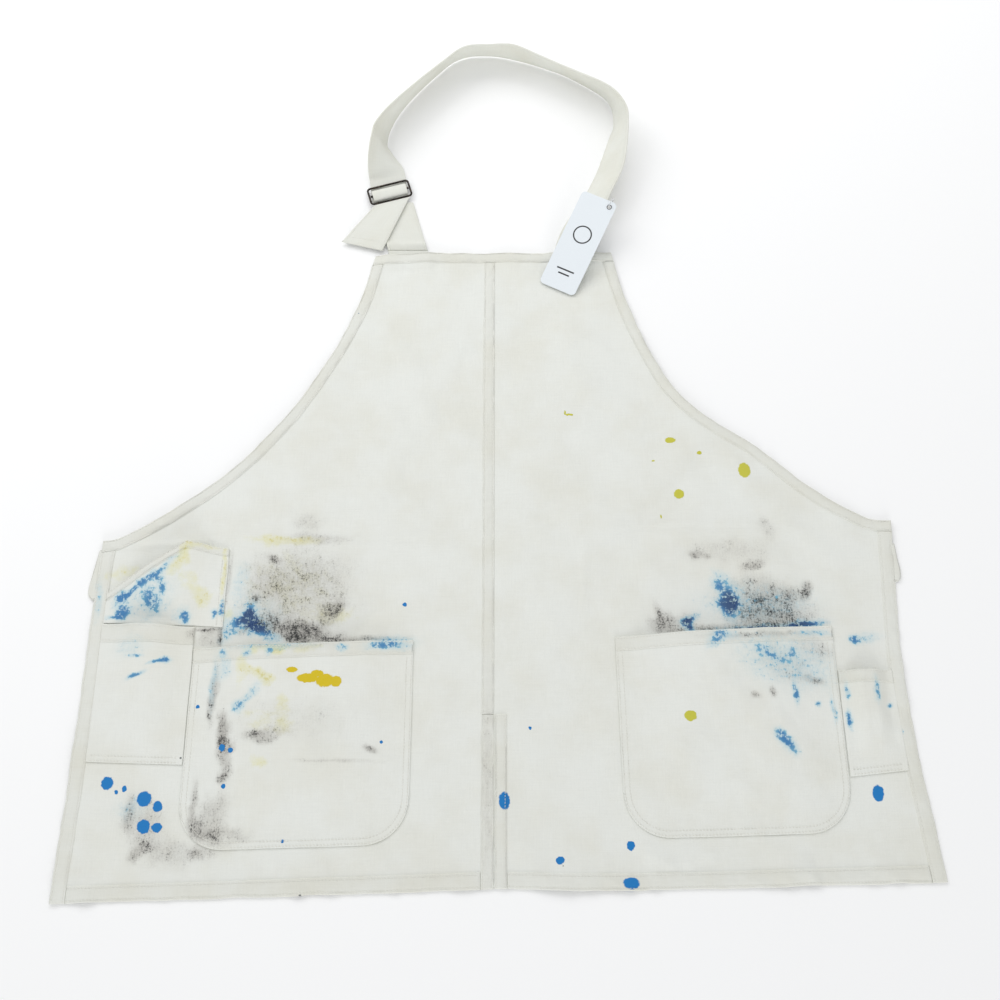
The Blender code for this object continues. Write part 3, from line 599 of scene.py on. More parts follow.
def rounded_box(width, height, radius, per_corner=8):
    """The outline of a flat box with round corners, about its own centre."""
    points = []
    for quarter, (sx, sy) in enumerate([(1, 1), (-1, 1), (-1, -1), (1, -1)]):
        for k in range(per_corner + 1):
            turn = math.pi / 2 * (quarter + k / per_corner)
            points.append((
                sx * (width / 2 - radius) + radius * math.cos(turn),
                sy * (height / 2 - radius) + radius * math.sin(turn),
                0.0,
            ))
    return points


# Materials


class Tree:
    """A material's node tree, with short ways to add to it."""

    def __init__(self, name):
        self.material = bpy.data.materials.new(name)
        self.material.use_nodes = True
        self.tree = self.material.node_tree
        self.shader = self.tree.nodes["Principled BSDF"]

    def node(self, kind, inputs=(), **settings):
        made = self.tree.nodes.new("ShaderNode" + kind)
        for key, value in settings.items():
            setattr(made, key, value)
        for key, value in dict(inputs).items():
            self.feed(made.inputs[key], value)
        return made

    def feed(self, socket, value):
        if isinstance(value, bpy.types.NodeSocket):
            self.tree.links.new(value, socket)
        else:
            socket.default_value = (*value, 1.0) if socket.type == "RGBA" and len(value) == 3 else value

    def calc(self, operation, a, b=0.0, c=0.0, clamp=False):
        made = self.node("Math", {0: a, 1: b, 2: c}, operation=operation, use_clamp=clamp)
        return made.outputs[0]

    def times(self, a, b, clamp=False):
        return self.calc("MULTIPLY", a, b, clamp=clamp)

    def scaled(self, a, by, plus):
        return self.calc("MULTIPLY_ADD", a, by, plus)

    def mix(self, share, a, b, blend="MIX"):
        made = self.node("Mix", {0: share, 6: a, 7: b}, data_type="RGBA", blend_type=blend)
        return made.outputs[2]

    def noise(self, where, scale, detail=3.0, roughness=0.55):
        inputs = {"Vector": where, "Scale": scale, "Detail": detail, "Roughness": roughness}
        return self.node("TexNoise", inputs).outputs["Fac"]

    def stretched(self, where, sx, sy, turn=0.0):
        moved = {"Vector": where, "Rotation": (0, 0, turn), "Scale": (sx, sy, 1)}
        return self.node("Mapping", moved).outputs[0]

    def split(self, vector):
        return self.node("SeparateXYZ", {0: vector}).outputs

    def vector(self, operation, a, b=(0, 0, 0), out=0):
        return self.node("VectorMath", {0: a, 1: b}, operation=operation).outputs[out]

    def ramp(self, value, low, high):
        inputs = {"Value": value, "From Min": low, "From Max": high}
        return self.node("MapRange", inputs, interpolation_type="SMOOTHSTEP").outputs[0]

    def surface(self, colour, roughness, height=None, distance=0.001, **values):
        self.feed(self.shader.inputs["Base Color"], colour)
        self.feed(self.shader.inputs["Roughness"], roughness)
        for key, value in values.items():
            self.shader.inputs[key.replace("_", " ")].default_value = value
        if height is not None:
            bump = self.node("Bump", {"Height": height, "Strength": 0.7, "Distance": distance})
            self.tree.links.new(bump.outputs[0], self.shader.inputs["Normal"])
        return self.material


def canvas_weave(tree, where):
    """The height of a plain canvas weave, from 0 to 1."""
    parts = tree.split(where)
    wobble = tree.noise(where, 160.0, 1.0)
    turn = 2 * math.pi / WEAVE_PITCH
    warp = tree.calc("SINE", tree.scaled(parts[0], turn, wobble))
    weft = tree.calc("SINE", tree.scaled(parts[1], turn, wobble))
    over = tree.times(warp, weft)
    return tree.scaled(over, 0.5, 0.5)


def drops_mask(tree, where, drops):
    """1 on thick drops of paint and 0 elsewhere."""
    closest = None
    for drop in drops:
        x, v, wide, tall = (k / 1000 for k in drop)
        spot = {"Vector": where, "Location": (x, v, 0), "Scale": (wide, tall, 1)}
        local = tree.node("Mapping", spot, vector_type="TEXTURE")
        far = tree.vector("LENGTH", local.outputs[0], out="Value")
        closest = far if closest is None else tree.calc("MINIMUM", closest, far)
    return tree.ramp(closest, 1.10, 0.92)


def canvas_material(name, tint, worn, stained):
    """Off-white cotton canvas: a weave, slubs, a worn and slightly yellowed tone, and its stains."""
    tree = Tree(name)
    where = tree.node("UVMap", uv_map="Cloth").outputs[0]
    weave = canvas_weave(tree, where)
    slub_warp = tree.noise(tree.stretched(where, 900.0, 45.0), 1.0, 2.0)
    slub_weft = tree.noise(tree.stretched(where, 45.0, 900.0), 1.0, 2.0)
    slub = tree.times(tree.calc("ADD", slub_warp, slub_weft), 0.5)
    cloud = tree.noise(where, 14.0, 4.0, 0.6)
    colour = tree.mix(tree.ramp(cloud, 0.35, 0.72), tint, worn)
    limits = {"From Min": 0.3, "From Max": 0.7, "To Min": 0.97, "To Max": 1.02}
    shade = tree.node("MapRange", {"Value": slub, **limits})
    colour = tree.mix(1.0, colour, shade.outputs[0], "MULTIPLY")
    height = tree.scaled(weave, 0.10, tree.times(slub, 0.35))
    roughness = 0.93
    if stained:
        colour, height, roughness = stains(tree, where, colour, height)
    return tree.surface(
        colour, roughness, height, Sheen_Weight=0.12, Sheen_Roughness=0.5, Specular_IOR_Level=0.25
    )


def stains(tree, where, colour, height):
    """The colour, height and roughness of the canvas with its paint, charcoal, specks and drops."""
    def density(name):
        return tree.node("Attribute", attribute_name=name).outputs["Fac"]

    def rubbed(amount, grain, contrast, low, high, most):
        """Paint caught on the cloth's grain: more of it covers where the amount is higher."""
        value = tree.scaled(tree.calc("SUBTRACT", grain, 0.5), contrast, amount)
        cover = tree.times(tree.ramp(value, low, high), most)
        return tree.times(cover, tree.times(amount, 4.0, clamp=True))

    streaks = tree.noise(tree.stretched(where, 520.0, 130.0, 0.7), 1.0, 4.0, 0.75)
    patches = tree.noise(where, 80.0, 4.0, 0.7)
    grain = tree.scaled(tree.noise(where, 560.0, 3.0, 0.8), 0.38, tree.times(streaks, 0.27))
    grain = tree.scaled(patches, 0.35, grain)
    dabs = tree.scaled(tree.noise(where, 210.0, 5.0, 0.68), 0.8, tree.times(streaks, 0.2))

    yellow = density("yellow")
    colour = tree.mix(rubbed(yellow, patches, 2.2, 0.05, 1.15, 0.54), colour, (0.74, 0.71, 0.33))
    colour = tree.mix(rubbed(yellow, dabs, 4.0, 0.80, 1.40, 0.62), colour, (0.62, 0.54, 0.13))

    charcoal = density("charcoal")
    colour = tree.mix(tree.times(charcoal, 0.34), colour, (0.40, 0.38, 0.345))
    colour = tree.mix(rubbed(charcoal, grain, 3.2, 0.00, 1.40, 0.62), colour, (0.27, 0.25, 0.225))

    blue = density("blue")
    colour = tree.mix(tree.times(blue, 0.46), colour, (0.46, 0.66, 0.73))
    colour = tree.mix(rubbed(blue, dabs, 2.6, 0.05, 1.25, 0.62), colour, (0.36, 0.58, 0.68))

    soot = rubbed(charcoal, grain, 7.5, 0.72, 1.60, 0.93)
    colour = tree.mix(soot, colour, (0.018, 0.020, 0.022))
    paint = rubbed(blue, dabs, 4.4, 0.68, 1.02, 0.90)
    both = tree.calc("ADD", charcoal, blue)
    deep = tree.mix(tree.ramp(blue, 0.50, 1.20), (0.170, 0.430, 0.580), (0.022, 0.170, 0.420))
    deep = tree.mix(tree.ramp(both, 1.25, 1.90), deep, (0.008, 0.045, 0.160))
    colour = tree.mix(paint, colour, deep)

    # Tiny scattered specks
    cells = tree.node("TexVoronoi", {"Vector": where, "Scale": 34.0, "Randomness": 1.0})
    odd = tree.split(cells.outputs["Color"])
    size = tree.times(tree.ramp(odd[0], 0.80, 1.0), 0.045)
    speck = tree.ramp(tree.calc("SUBTRACT", size, cells.outputs["Distance"]), 0.0, 0.008)
    speck_colour = tree.mix(tree.ramp(odd[1], 0.45, 0.55), (0.05, 0.06, 0.07), (0.03, 0.16, 0.34))
    colour = tree.mix(tree.times(speck, 0.8), colour, speck_colour)

    # Thick drops, with uneven edges
    ragged = tree.node("TexNoise", {"Vector": where, "Scale": 330.0, "Detail": 2.0}).outputs["Color"]
    nudge = tree.vector("MULTIPLY", tree.vector("ADD", ragged, (-0.5, -0.5, 0)), (0.0026, 0.0026, 0))
    spread = tree.vector("ADD", where, nudge)
    thick = None
    for name, drops in DROPS.items():
        mask = drops_mask(tree, spread, drops)
        colour = tree.mix(mask, colour, PAINT[name])
        thick = mask if thick is None else tree.calc("MAXIMUM", thick, mask)
    height = tree.scaled(thick, 0.35, height)
    gloss = tree.calc("MAXIMUM", thick, tree.times(paint, 0.5))
    roughness = tree.scaled(gloss, -0.45, 0.93)
    return colour, height, roughness


def thread_material():
    tree = Tree("cotton_thread")
    where = tree.node("UVMap", uv_map="Cloth").outputs[0]
    tone = tree.noise(where, 60.0, 3.0)
    colour = tree.mix(tone, (0.70, 0.69, 0.62), (0.86, 0.86, 0.80))
    parts = tree.split(where)
    twist = tree.calc("SINE", tree.times(tree.calc("ADD", parts[0], parts[1]), 9000.0))
    return tree.surface(colour, 0.78, twist, 0.00008, Sheen_Weight=0.1)


def metal_material():
    tree = Tree("antique_plating")
    where = tree.node("TexCoord").outputs["Object"]
    rub = tree.ramp(tree.noise(where, 260.0, 4.0, 0.7), 0.50, 0.78)
    colour = tree.mix(rub, (0.035, 0.030, 0.027), (0.20, 0.155, 0.115))
    roughness = tree.scaled(tree.noise(where, 900.0, 3.0), 0.25, 0.28)
    return tree.surface(colour, roughness, tree.noise(where, 700.0, 3.0), 0.00010, Metallic=1.0)


def card_material():
    """White card with a faint paper grain, and a ring and two short bars printed on it."""
    tree = Tree("printed_card")
    where = tree.node("UVMap", uv_map="Cloth").outputs[0]
    parts = tree.split(where)
    grain = tree.noise(where, 900.0, 3.0)
    colour = tree.mix(grain, (0.74, 0.79, 0.83), (0.82, 0.86, 0.89))
    far = tree.vector("LENGTH", tree.vector("SUBTRACT", where, (0.0, 0.010, 0.0)), out="Value")
    ring = tree.calc("ABSOLUTE", tree.calc("SUBTRACT", far, 0.0095))
    ink = tree.ramp(ring, 0.0009, 0.0006)
    for v, half in ((-0.033, 0.0100), (-0.038, 0.0065)):
        beside = tree.calc("ABSOLUTE", parts[0])
        above = tree.calc("ABSOLUTE", tree.calc("SUBTRACT", parts[1], v))
        bar = tree.times(tree.ramp(beside, half, half - 0.0003), tree.ramp(above, 0.0010, 0.0007))
        ink = tree.calc("MAXIMUM", ink, bar)
    colour = tree.mix(ink, colour, (0.02, 0.02, 0.022))
    return tree.surface(colour, 0.50, grain, 0.00004, Coat_Weight=0.15)


def nylon_material():
    tree = Tree("clear_nylon")
    where = tree.node("TexCoord").outputs["Object"]
    colour = tree.mix(tree.noise(where, 400.0, 2.0), (0.80, 0.82, 0.84), (0.92, 0.93, 0.94))
    return tree.surface(colour, 0.22, Transmission_Weight=0.5, IOR=1.53)


CANVAS_LOOK = canvas_material("canvas_stained", (0.800, 0.812, 0.770), (0.765, 0.765, 0.700), True)
HEM_LOOK = canvas_material("canvas_hemmed", (0.765, 0.772, 0.722), (0.725, 0.720, 0.645), True)
STRAP_LOOK = canvas_material("canvas_strap", (0.765, 0.772, 0.715), (0.720, 0.715, 0.635), False)
THREAD = thread_material()
METAL = metal_material()
CARD = card_material()
NYLON = nylon_material()


# The canvas body


def laid(name, x, v, low, thick, slot, layer="body"):
    """The cloth of one of the apron's own pieces, and its upper side."""
    look = CANVAS_LOOK if slot == "canvas" else HEM_LOOK
    top = place(x, v, low + thick)
    made = cloth(name + "_cloth", top, place(x, v, low), look, slot, "apron", replaces=[name], layer=layer)
    return made, top


def panel(name, left, right):
    """One half of the front. Both sides run from the bib down to the hem."""
    grid = level_grid(left, right, PANEL_CELL)
    x, v = grid[..., 0], grid[..., 1]
    return laid(name, x, v, ground(x, v), CANVAS, "canvas")[0], grid


def band(name, sides, seed, rows, across=13):
    """A folded and stitched edge between its outer and inner side, roped and puckered by its stitches."""
    grid = strip_grid(*sides, 0.0022, across)
    far = np.broadcast_to(lengths(grid[:, 0])[:, None], grid.shape[:2])
    share = np.broadcast_to(np.linspace(0, 1, across)[None], far.shape)
    wobble = noise(far / 0.022, 0 * far, seed + 2) + 0.5 * noise(far / 0.008, 0 * far, seed + 3)
    grid = grid + unit(grid[:, :1] - grid[:, -1:]) * (EDGE_WOBBLE * wobble * (1 - share))[..., None]
    x, v = grid[..., 0], grid[..., 1]
    low = ground(x, v)
    thick = HEM - (HEM - CANVAS) * 0.35 * np.abs(2 * share - 1) ** 3
    rope = noise(far / 0.0085 + 1.6 * share, share * 1.5 + 7, seed)
    rope = rope + 0.5 * noise(far / 0.020, share, seed + 1)
    thick = thick + 0.00042 * rope * np.sin(math.pi * share) ** 0.5
    for row in rows:
        thick = thick - 0.00050 * np.exp(-(((share - row) / 0.07) ** 2))
    made, top = laid(name, x, v, low, thick, "hemmed_canvas")
    paths = [column(top, row * (across - 1)) for row in rows]
    return [made, stitches(name + "_stitching", paths, "apron")]


def upright(x):
    return [(x, -EDGE_OVERRUN), (x, LENGTH)]


# The runs round the apron, and how deep the fold along each one is
RIMS = {
    "top": (BIB_TOP, TOP_HEM_WIDTH),
    "left_arm": (ARM_LEFT, BINDING_WIDTH), "right_arm": (ARM_RIGHT, BINDING_WIDTH),
    "left_side": (SIDE_LEFT, SIDE_HEM_WIDTH), "right_side": (SIDE_RIGHT, SIDE_HEM_WIDTH),
    "left_hem": (LEFT_HEM, BOTTOM_HEM_WIDTH), "right_hem": (HEM_RIGHT, BOTTOM_HEM_WIDTH),
}


def outer(rim):
    return inset(RIMS[rim][0], 0)


def inner(rim, under=0.0):
    return inset(RIMS[rim][0], RIMS[rim][1] - under)


def make_body():
    rims = (inner(rim, UNDER) for rim in ("top", "left_arm", "left_side", "left_hem"))
    found = runs(*rims, upright(SEAM_LEFT + UNDER))
    panel("left_front_panel", np.vstack([found[1], found[2][1:]]), found[4][::-1])
    found = runs(
        inner("top", UNDER), upright(SEAM_RIGHT - UNDER)[::-1], inner("right_hem", 3 * UNDER),
        inner("right_side", UNDER), inner("right_arm", UNDER),
    )
    panel("right_front_panel", found[1], np.vstack([found[3], found[4][1:]])[::-1])

    slit_edge = SEAM_RIGHT + SEAM_WIDTH
    slit = np.array([(SEAM_LEFT - EDGE_OVERRUN, SLIT_TOP), (slit_edge + EDGE_OVERRUN, SLIT_TOP)])
    # Each band: its name, seed, the four runs round it, and which of them are its outer and inner sides
    bands = [("bib_top_hem", 101, (outer("top"), outer("left_arm"), inner("top"), outer("right_arm")), 0, 2)]
    for side in ("left", "right"):
        arm, edge, hem = (side + rim for rim in ("_arm", "_side", "_hem"))
        bands += [
            (side + "_armhole_binding", 103, (inner("top"), outer(arm), outer(edge), inner(arm)), 1, 3),
            (side + "_side_hem", 105, (inner(arm), outer(edge), outer(hem), inner(edge)), 1, 3),
        ]
    left_seam, right_seam = upright(SEAM_LEFT), upright(SEAM_RIGHT)
    bands += [
        ("left_bottom_hem", 107, (inner("left_side"), outer("left_hem"), left_seam, inner("left_hem")), 1, 3),
        ("right_bottom_hem", 109,
         (inner("right_side"), inner("right_hem"), upright(slit_edge), outer("right_hem")), 3, 1),
        ("centre_seam", 111, (inner("top"), left_seam, slit, right_seam), 1, 3),
        ("left_slit_hem", 113, (slit, right_seam, outer("left_hem"), left_seam), 3, 1),
        ("right_slit_hem", 115,
         (slit, upright(slit_edge), outer("right_hem"), upright(SEAM_RIGHT + GAP)), 3, 1),
    ]
    pieces = {"left": [], "right": []}
    for name, seed, round_it, outside, inside in bands:
        found = runs(*round_it)
        rows = (0.14, 0.84) if seed < 111 else (0.16, 0.84)
        side = "right" if name.startswith("right") else "left"
        pieces[side] += band(name, (found[outside], found[inside][::-1]), seed, rows)
    for side, loop in (("left", LEFT_LOOP), ("right", RIGHT_LOOP)):
        pieces[side].append(waist_loop(side + "_waist_loop", np.array(loop)))


def waist_loop(name, edge):
    """The folded end of a loop sewn behind the side hem, where it shows past the hem."""
    edge = smooth(edge, 6)
    foot = np.linspace(edge[0], edge[-1], len(edge)) - np.array([math.copysign(0.004, edge[0, 0]), 0])
    grid = strip_grid(edge, foot, 0.0012, 9)
    x, v = grid[..., 0], grid[..., 1]
    share = np.broadcast_to(np.linspace(0, 1, 9)[None], x.shape)
    thick = 0.0021 + 0.0004 * np.sin(math.pi * share) + 0.0002 * noise(x / 0.004, v / 0.006, 121)
    return laid(name, x, v, 0.0002, thick, "hemmed_canvas")[0]


# Pockets


def pocket(name, bottom, top, hem_depth, corner, side_ramp, bottom_ramp, sewn):
    """A patch sewn down along its sides and bottom. bottom and top give its edges at shares s of its width.

    sewn names the edges whose stitches show: the others run under the piece beside them.
    """
    width = float(top(np.array(1.0))[0] - top(np.array(0.0))[0])
    columns = int(width / POCKET_CELL) + 1
    shares = (np.linspace(0, 1, columns) + (0.5 - 0.5 * np.cos(np.linspace(0, math.pi, columns)))) / 2

    def grid(ups_of):
        low, high = bottom(shares), top(shares)
        reach = np.minimum(shares, 1 - shares) * width
        if corner:
            cut = corner - np.sqrt(np.maximum(corner**2 - (corner - np.minimum(reach, corner)) ** 2, 0))
            low = low + unit((high - low).T).T * cut
        tall = np.linalg.norm(high - low, axis=0)
        ups = ups_of(tall)
        spots = low[:, None] + (high - low)[:, None] * ups
        side_rise = min(1.8 * side_ramp, 0.47 * width - POCKET_STITCH)
        lift = POCKET_GAPE * ease((reach - POCKET_STITCH) / side_rise)[None]
        lift = lift * ease((tall * ups - POCKET_STITCH) / (1.8 * bottom_ramp))
        return spots[0], spots[1], lift

    def body_ups(tall):
        rows = int(tall.max() / POCKET_CELL)
        return np.linspace(0, 1, rows)[:, None] * (1 - (hem_depth - UNDER / 2) / tall)

    def hem_ups(tall):
        return 1 - np.linspace(hem_depth, 0, 9)[:, None] / tall

    def layer(piece, x, v, lift, thick, slot):
        give = np.minimum(lift / POCKET_GAPE, 1)
        wave = 0.0007 * noise(x / 0.030, v / 0.045, 131) + 0.0004 * noise(x / 0.012, v / 0.016, 132)
        low = ground(x, v) + CANVAS + GAP + np.maximum(lift + wave * give, 0)
        return laid(piece, x, v, low, thick + 0.00018 * noise(x / 0.006, v / 0.006, 133), slot, "pocket")

    x, v, lift = grid(body_ups)
    made, _ = layer(name, x, v, lift, CANVAS, "canvas")
    flat = np.stack([x, v], axis=-1)
    hem, top_side = layer(name + "_hem", *grid(hem_ups), POCKET_HEM, "hemmed_canvas")
    rows = [top_side[1, 1:-1], top_side[-2, 1:-1]]
    hem_thread = stitches(name + "_hem_stitching", rows, "apron")
    edges = {"left": flat[::-1, 0], "bottom": flat[0, 1:-1], "right": flat[:, -1]}
    edge = np.vstack([edges[side] for side in sewn.split()])
    edge = resample(edge, int(lengths(edge)[-1] / 0.002))
    rows = []
    for depth in (0.0016, 0.0062):
        run = inset(edge, depth, 0.0)[2:-2]
        low = ground(run[:, 0], run[:, 1])
        rows.append(place(run[:, 0], run[:, 1], low + 2 * CANVAS + GAP + 0.00012))
    thread = stitches(name + "_stitching", rows, "apron")
    name.split("_")[0] + "_front_panel_cloth"


def make_pockets():
    def between(s, a, b):
        return np.stack([a[k] + (b[k] - a[k]) * s for k in range(2)])

    def slanted(s, edge):
        x = SLANT_LEFT + (SLANT_RIGHT - SLANT_LEFT) * s
        return np.stack([x, np.interp(x, *edge)])

    for name, (four, hem_depth, corner, side_ramp, bottom_ramp) in PATCH_POCKETS.items():
        caught = CAUGHT.get(name, (0, 0, 0, 0))
        corners = [np.array([x + move, v]) for (x, v), move in zip(four, caught)]
        pocket(
            name, partial(between, a=corners[0], b=corners[1]), partial(between, a=corners[3], b=corners[2]),
            hem_depth, corner, side_ramp, bottom_ramp, "bottom" if name in CAUGHT else "left bottom right",
        )
    mouth = (SLANT_LEFT, SLANT_PEAK[0], SLANT_RIGHT), (SLANT_LOW, SLANT_PEAK[1], SLANT_TOP_RIGHT)
    bottom, top = partial(slanted, edge=SLANT_FOOT), partial(slanted, edge=mouth)
    pocket("left_slant_pocket", bottom, top, SLANT_HEM_DEPTH, 0.0, 0.020, 0.015, "right")


# Neck strap, tab, slider and tail


def ribbon(centre, across, face):
    """The two sides of a folded strap: thicker along its edges, and grooved where it is stitched."""
    share = np.linspace(-1, 1, STRAP_COLUMNS)
    far = lengths(centre)[:, None]
    swell = STRAP / 2 * (0.86 + 0.14 * np.abs(share[None]) ** 2)
    swell = swell - 0.00022 * np.exp(-(((np.abs(share[None]) - STITCH_SHARE) / 0.06) ** 2))
    bend = 0.00035 * noise(far / 0.022, share[None] * 1.3 + 3, 151) * (1 - share[None] ** 4)
    bend = bend + 0.35 * 0.00035 * noise(far / 0.007, share[None] * 4, 152)
    middle = centre[:, None] + across[:, None] * (STRAP_WIDTH / 2 * share)[None, :, None]
    middle = middle + face[:, None] * bend[..., None]
    step = face[:, None] * swell[..., None]
    return middle + step, middle - step


def edge_rows(top, under, face):
    """The stitched rows near both edges of a ribbon, on both of its sides, with the way each one faces."""
    rows = []
    for share in (-STITCH_SHARE, STITCH_SHARE):
        for side, way in ((top, 1), (under, -1)):
            rows.append((column(side, (share + 1) / 2 * (side.shape[1] - 1))[1:-1], face[1:-1] * way))
    return rows


def make_strap():
    route = [(x, v, math.radians(roll)) for x, v, roll in STRAP_ROUTE]
    tuck = [(route[0][0], route[0][1] - TUCK_DEPTH, 0.0), (route[0][0], route[0][1] - TUCK_DEPTH / 2, 0.0)]
    fine = smooth(route, 12)
    fine = np.vstack([resample(np.array([*tuck, route[0]]), 7)[:-1], fine])
    far = lengths(fine[:, :2])
    even = np.linspace(0, far[-1], int(far[-1] / 0.0025))
    x, v, roll = (np.interp(even, far, fine[:, k]) for k in range(3))
    flat = np.stack([x, v, 0 * x], axis=1)
    along = unit(np.gradient(flat, axis=0))
    square = ease((even - TUCK_DEPTH) / 0.008)[:, None]
    along = unit(along * square + np.array([0, 1, 0]) * (1 - square))
    outward = np.stack([along[:, 1], -along[:, 0], 0 * x], axis=1)
    across = outward * np.cos(roll)[:, None] + np.array([0, 0, 1]) * np.sin(roll)[:, None]
    face = np.cross(along, across)
    rise = STRAP_WIDTH / 2 * np.abs(np.sin(roll))
    centre = place(x, v, GAP + STRAP / 2 + 0.0002 + rise)
    top, under = ribbon(centre, across, face)
    for side in (top, under):
        side[..., 2] = np.maximum(side[..., 2], 0.0002)
    uv = joined(np.linspace(-STRAP_WIDTH / 2, STRAP_WIDTH / 2, STRAP_COLUMNS), lengths(centre)[:, None])
    strap = cloth("neck_strap_cloth", top, under, STRAP_LOOK, "strap_canvas", None, uv, ["neck_strap"])
    thread = stitches("neck_strap_stitching", edge_rows(top, under, face), None)
    for piece in (strap, thread):
        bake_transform(piece)


def make_slider():
    at_row = Matrix.Translation((SLIDER_CENTRE[0], SLIDER_CENTRE[1] - LENGTH / 2, SLIDER_Z))
    to_row = at_row @ Matrix.Rotation(SLIDER_TURN, 4, "Z")
    wide, tall = SLIDER_SIZE
    wire = rounded_box(wide - 2 * SLIDER_WIRE, tall - 2 * SLIDER_WIRE, SLIDER_CORNER - SLIDER_WIRE)
    made_of = METAL, "antique_metal", "slider"
    tube("slider_wire_frame", wire, SLIDER_WIRE, *made_of, to_row, 20, ["slider_frame"])
    bar_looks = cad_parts["slider_bar"].data.materials
    bar_looks.clear()
    bar_looks.append(METAL)

    # The strap's turn over the bar
    foot = 2 * GAP + STRAP - SLIDER_Z
    x = np.linspace(-ARCH_WIDTH / 2, ARCH_WIDTH / 2, 30)
    turns = np.linspace(0, math.pi, 25)[:, None]
    dip = 0.00025 * noise(x / 0.006, turns * 1.4, 171) * np.sin(turns)
    sides = []
    for grow in (ARCH_CLOTH, 0.0):
        y, z = (ARCH_INNER[0] + grow) * np.cos(turns), foot + (ARCH_INNER[1] + grow) * np.sin(turns) + dip
        sides.append(to_points(to_row, joined(x, y, z)))
    uv = joined(x, turns * ARCH_INNER[0])
    cloth("strap_over_bar", *sides, STRAP_LOOK, "strap_canvas", "slider", uv, ["strap_turn_over_bar"])

    # The strap's free end, which lies over the tab
    inverse = to_row.inverted()
    start = -tall / 2 - GAP
    near = np.array([(-STRAP_WIDTH / 2, start), (STRAP_WIDTH / 2, start)])
    far = np.array([tuple((inverse @ Vector((x, v - LENGTH / 2, SLIDER_Z))).xy) for x, v in TAIL_CORNERS])
    w, u = np.linspace(0, 1, 30)[:, None], np.linspace(0, 1, STRAP_COLUMNS)
    edges = near * (1 - w[..., None]) + far * w[..., None]
    flat = edges[:, :1] * (1 - u[:, None]) + edges[:, 1:] * u[:, None]
    beside = np.abs(2 * u - 1)
    thick = STRAP * (0.9 + 0.1 * beside) - 0.0003 * np.exp(-(((beside - STITCH_SHARE) / 0.06) ** 2))
    thick = thick + 0.0004 * ease((w - 0.86) / 0.03)
    low = foot + 0.0003 + 0.0009 * np.sin(math.pi * w) ** 2 * (0.6 + 0.4 * noise(w * 3, u * 2, 173))
    top, under = (to_points(to_row, joined(flat[..., 0], flat[..., 1], z)) for z in (low + thick, low))
    uv = joined((u - 0.5) * STRAP_WIDTH, w * 0.062)
    tail = cloth("strap_tail_end", top, under, STRAP_LOOK, "strap_canvas", "slider", uv, ["strap_tail"])
    rows = [top[1:-1, 1], top[1:-1, -2], top[-5, 1:-1]]
    thread = stitches("strap_tail_stitching", rows, "slider")
    flat = (STRAP_WIDTH, 0.065)


def to_points(matrix, local):
    turn = np.array(matrix.to_3x3())
    return local @ turn.T + np.array(matrix.translation)


def make_tab():
    """The short tab that holds the slider: it comes out from behind the bib and is rolled just above it."""
    base_v = NECK_HINGE + 0.0005
    hinge_y = NECK_HINGE - LENGTH / 2
    u = np.linspace(0, 1, STRAP_COLUMNS)

    def part(name, low_v, high_v, rows, long, replaces, bodies, start, end):
        v = np.linspace(low_v, high_v, rows)[:, None]
        share = (v - base_v) / (TAB_TOP_V - base_v)
        left, right = (base + (top - base) * share for base, top in zip(TAB_BASE, TAB_TOP))
        x = left * (1 - u) + right * u
        above = v - base_v - TAB_ROLL
        crest = 0.0024 * np.exp(-((above / 0.0042) ** 2)) * (0.75 + 0.25 * noise(x / 0.02, v, 5))
        lift = crest * (0.3 + 0.7 * (1 - ease((above + 0.001) / 0.012)))
        # It lies low under the tail and the slider
        lift = np.maximum(lift * ease((TAB_TOP_V - 0.030 - v) / 0.012), 0)
        thick = STRAP * (0.88 + 0.12 * np.abs(2 * u - 1)) * 0.95
        top, under = place(x, v, GAP + lift + thick), place(x, v, GAP + lift)
        uv = joined((u - 0.5) * TAB_WIDTH, v - low_v)
        made = cloth(name, top, under, STRAP_LOOK, "strap_canvas", None, uv, replaces)
        thread = stitches(name + "_stitching", [top[:, 1], top[:, -2]], None)
        for piece in (made, thread):
            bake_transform(piece)

    part(
        "buckle_tab_cloth", base_v + 0.0015, TAB_TOP_V, 34, 0.066, ["buckle_tab"], ("neck_loop", "slider"),
        (-0.100, hinge_y + 0.012, HINGE_Z), (-0.116, hinge_y + 0.062, HINGE_Z),
    )
    part(
        "buckle_tab_root", base_v - TUCK_DEPTH, base_v + 0.0012, 9, 0.016, [], ("apron", "neck_loop"),
        (0, hinge_y - 0.005, HINGE_Z), (0, hinge_y + 0.0005, HINGE_Z),
    )


# Tag


def circle(radius, count, middle=(0.0, 0.0), z=0.0):
    turns = (2 * math.pi * k / count for k in range(count))
    return [(middle[0] + radius * math.cos(t), middle[1] + radius * math.sin(t), z) for t in turns]


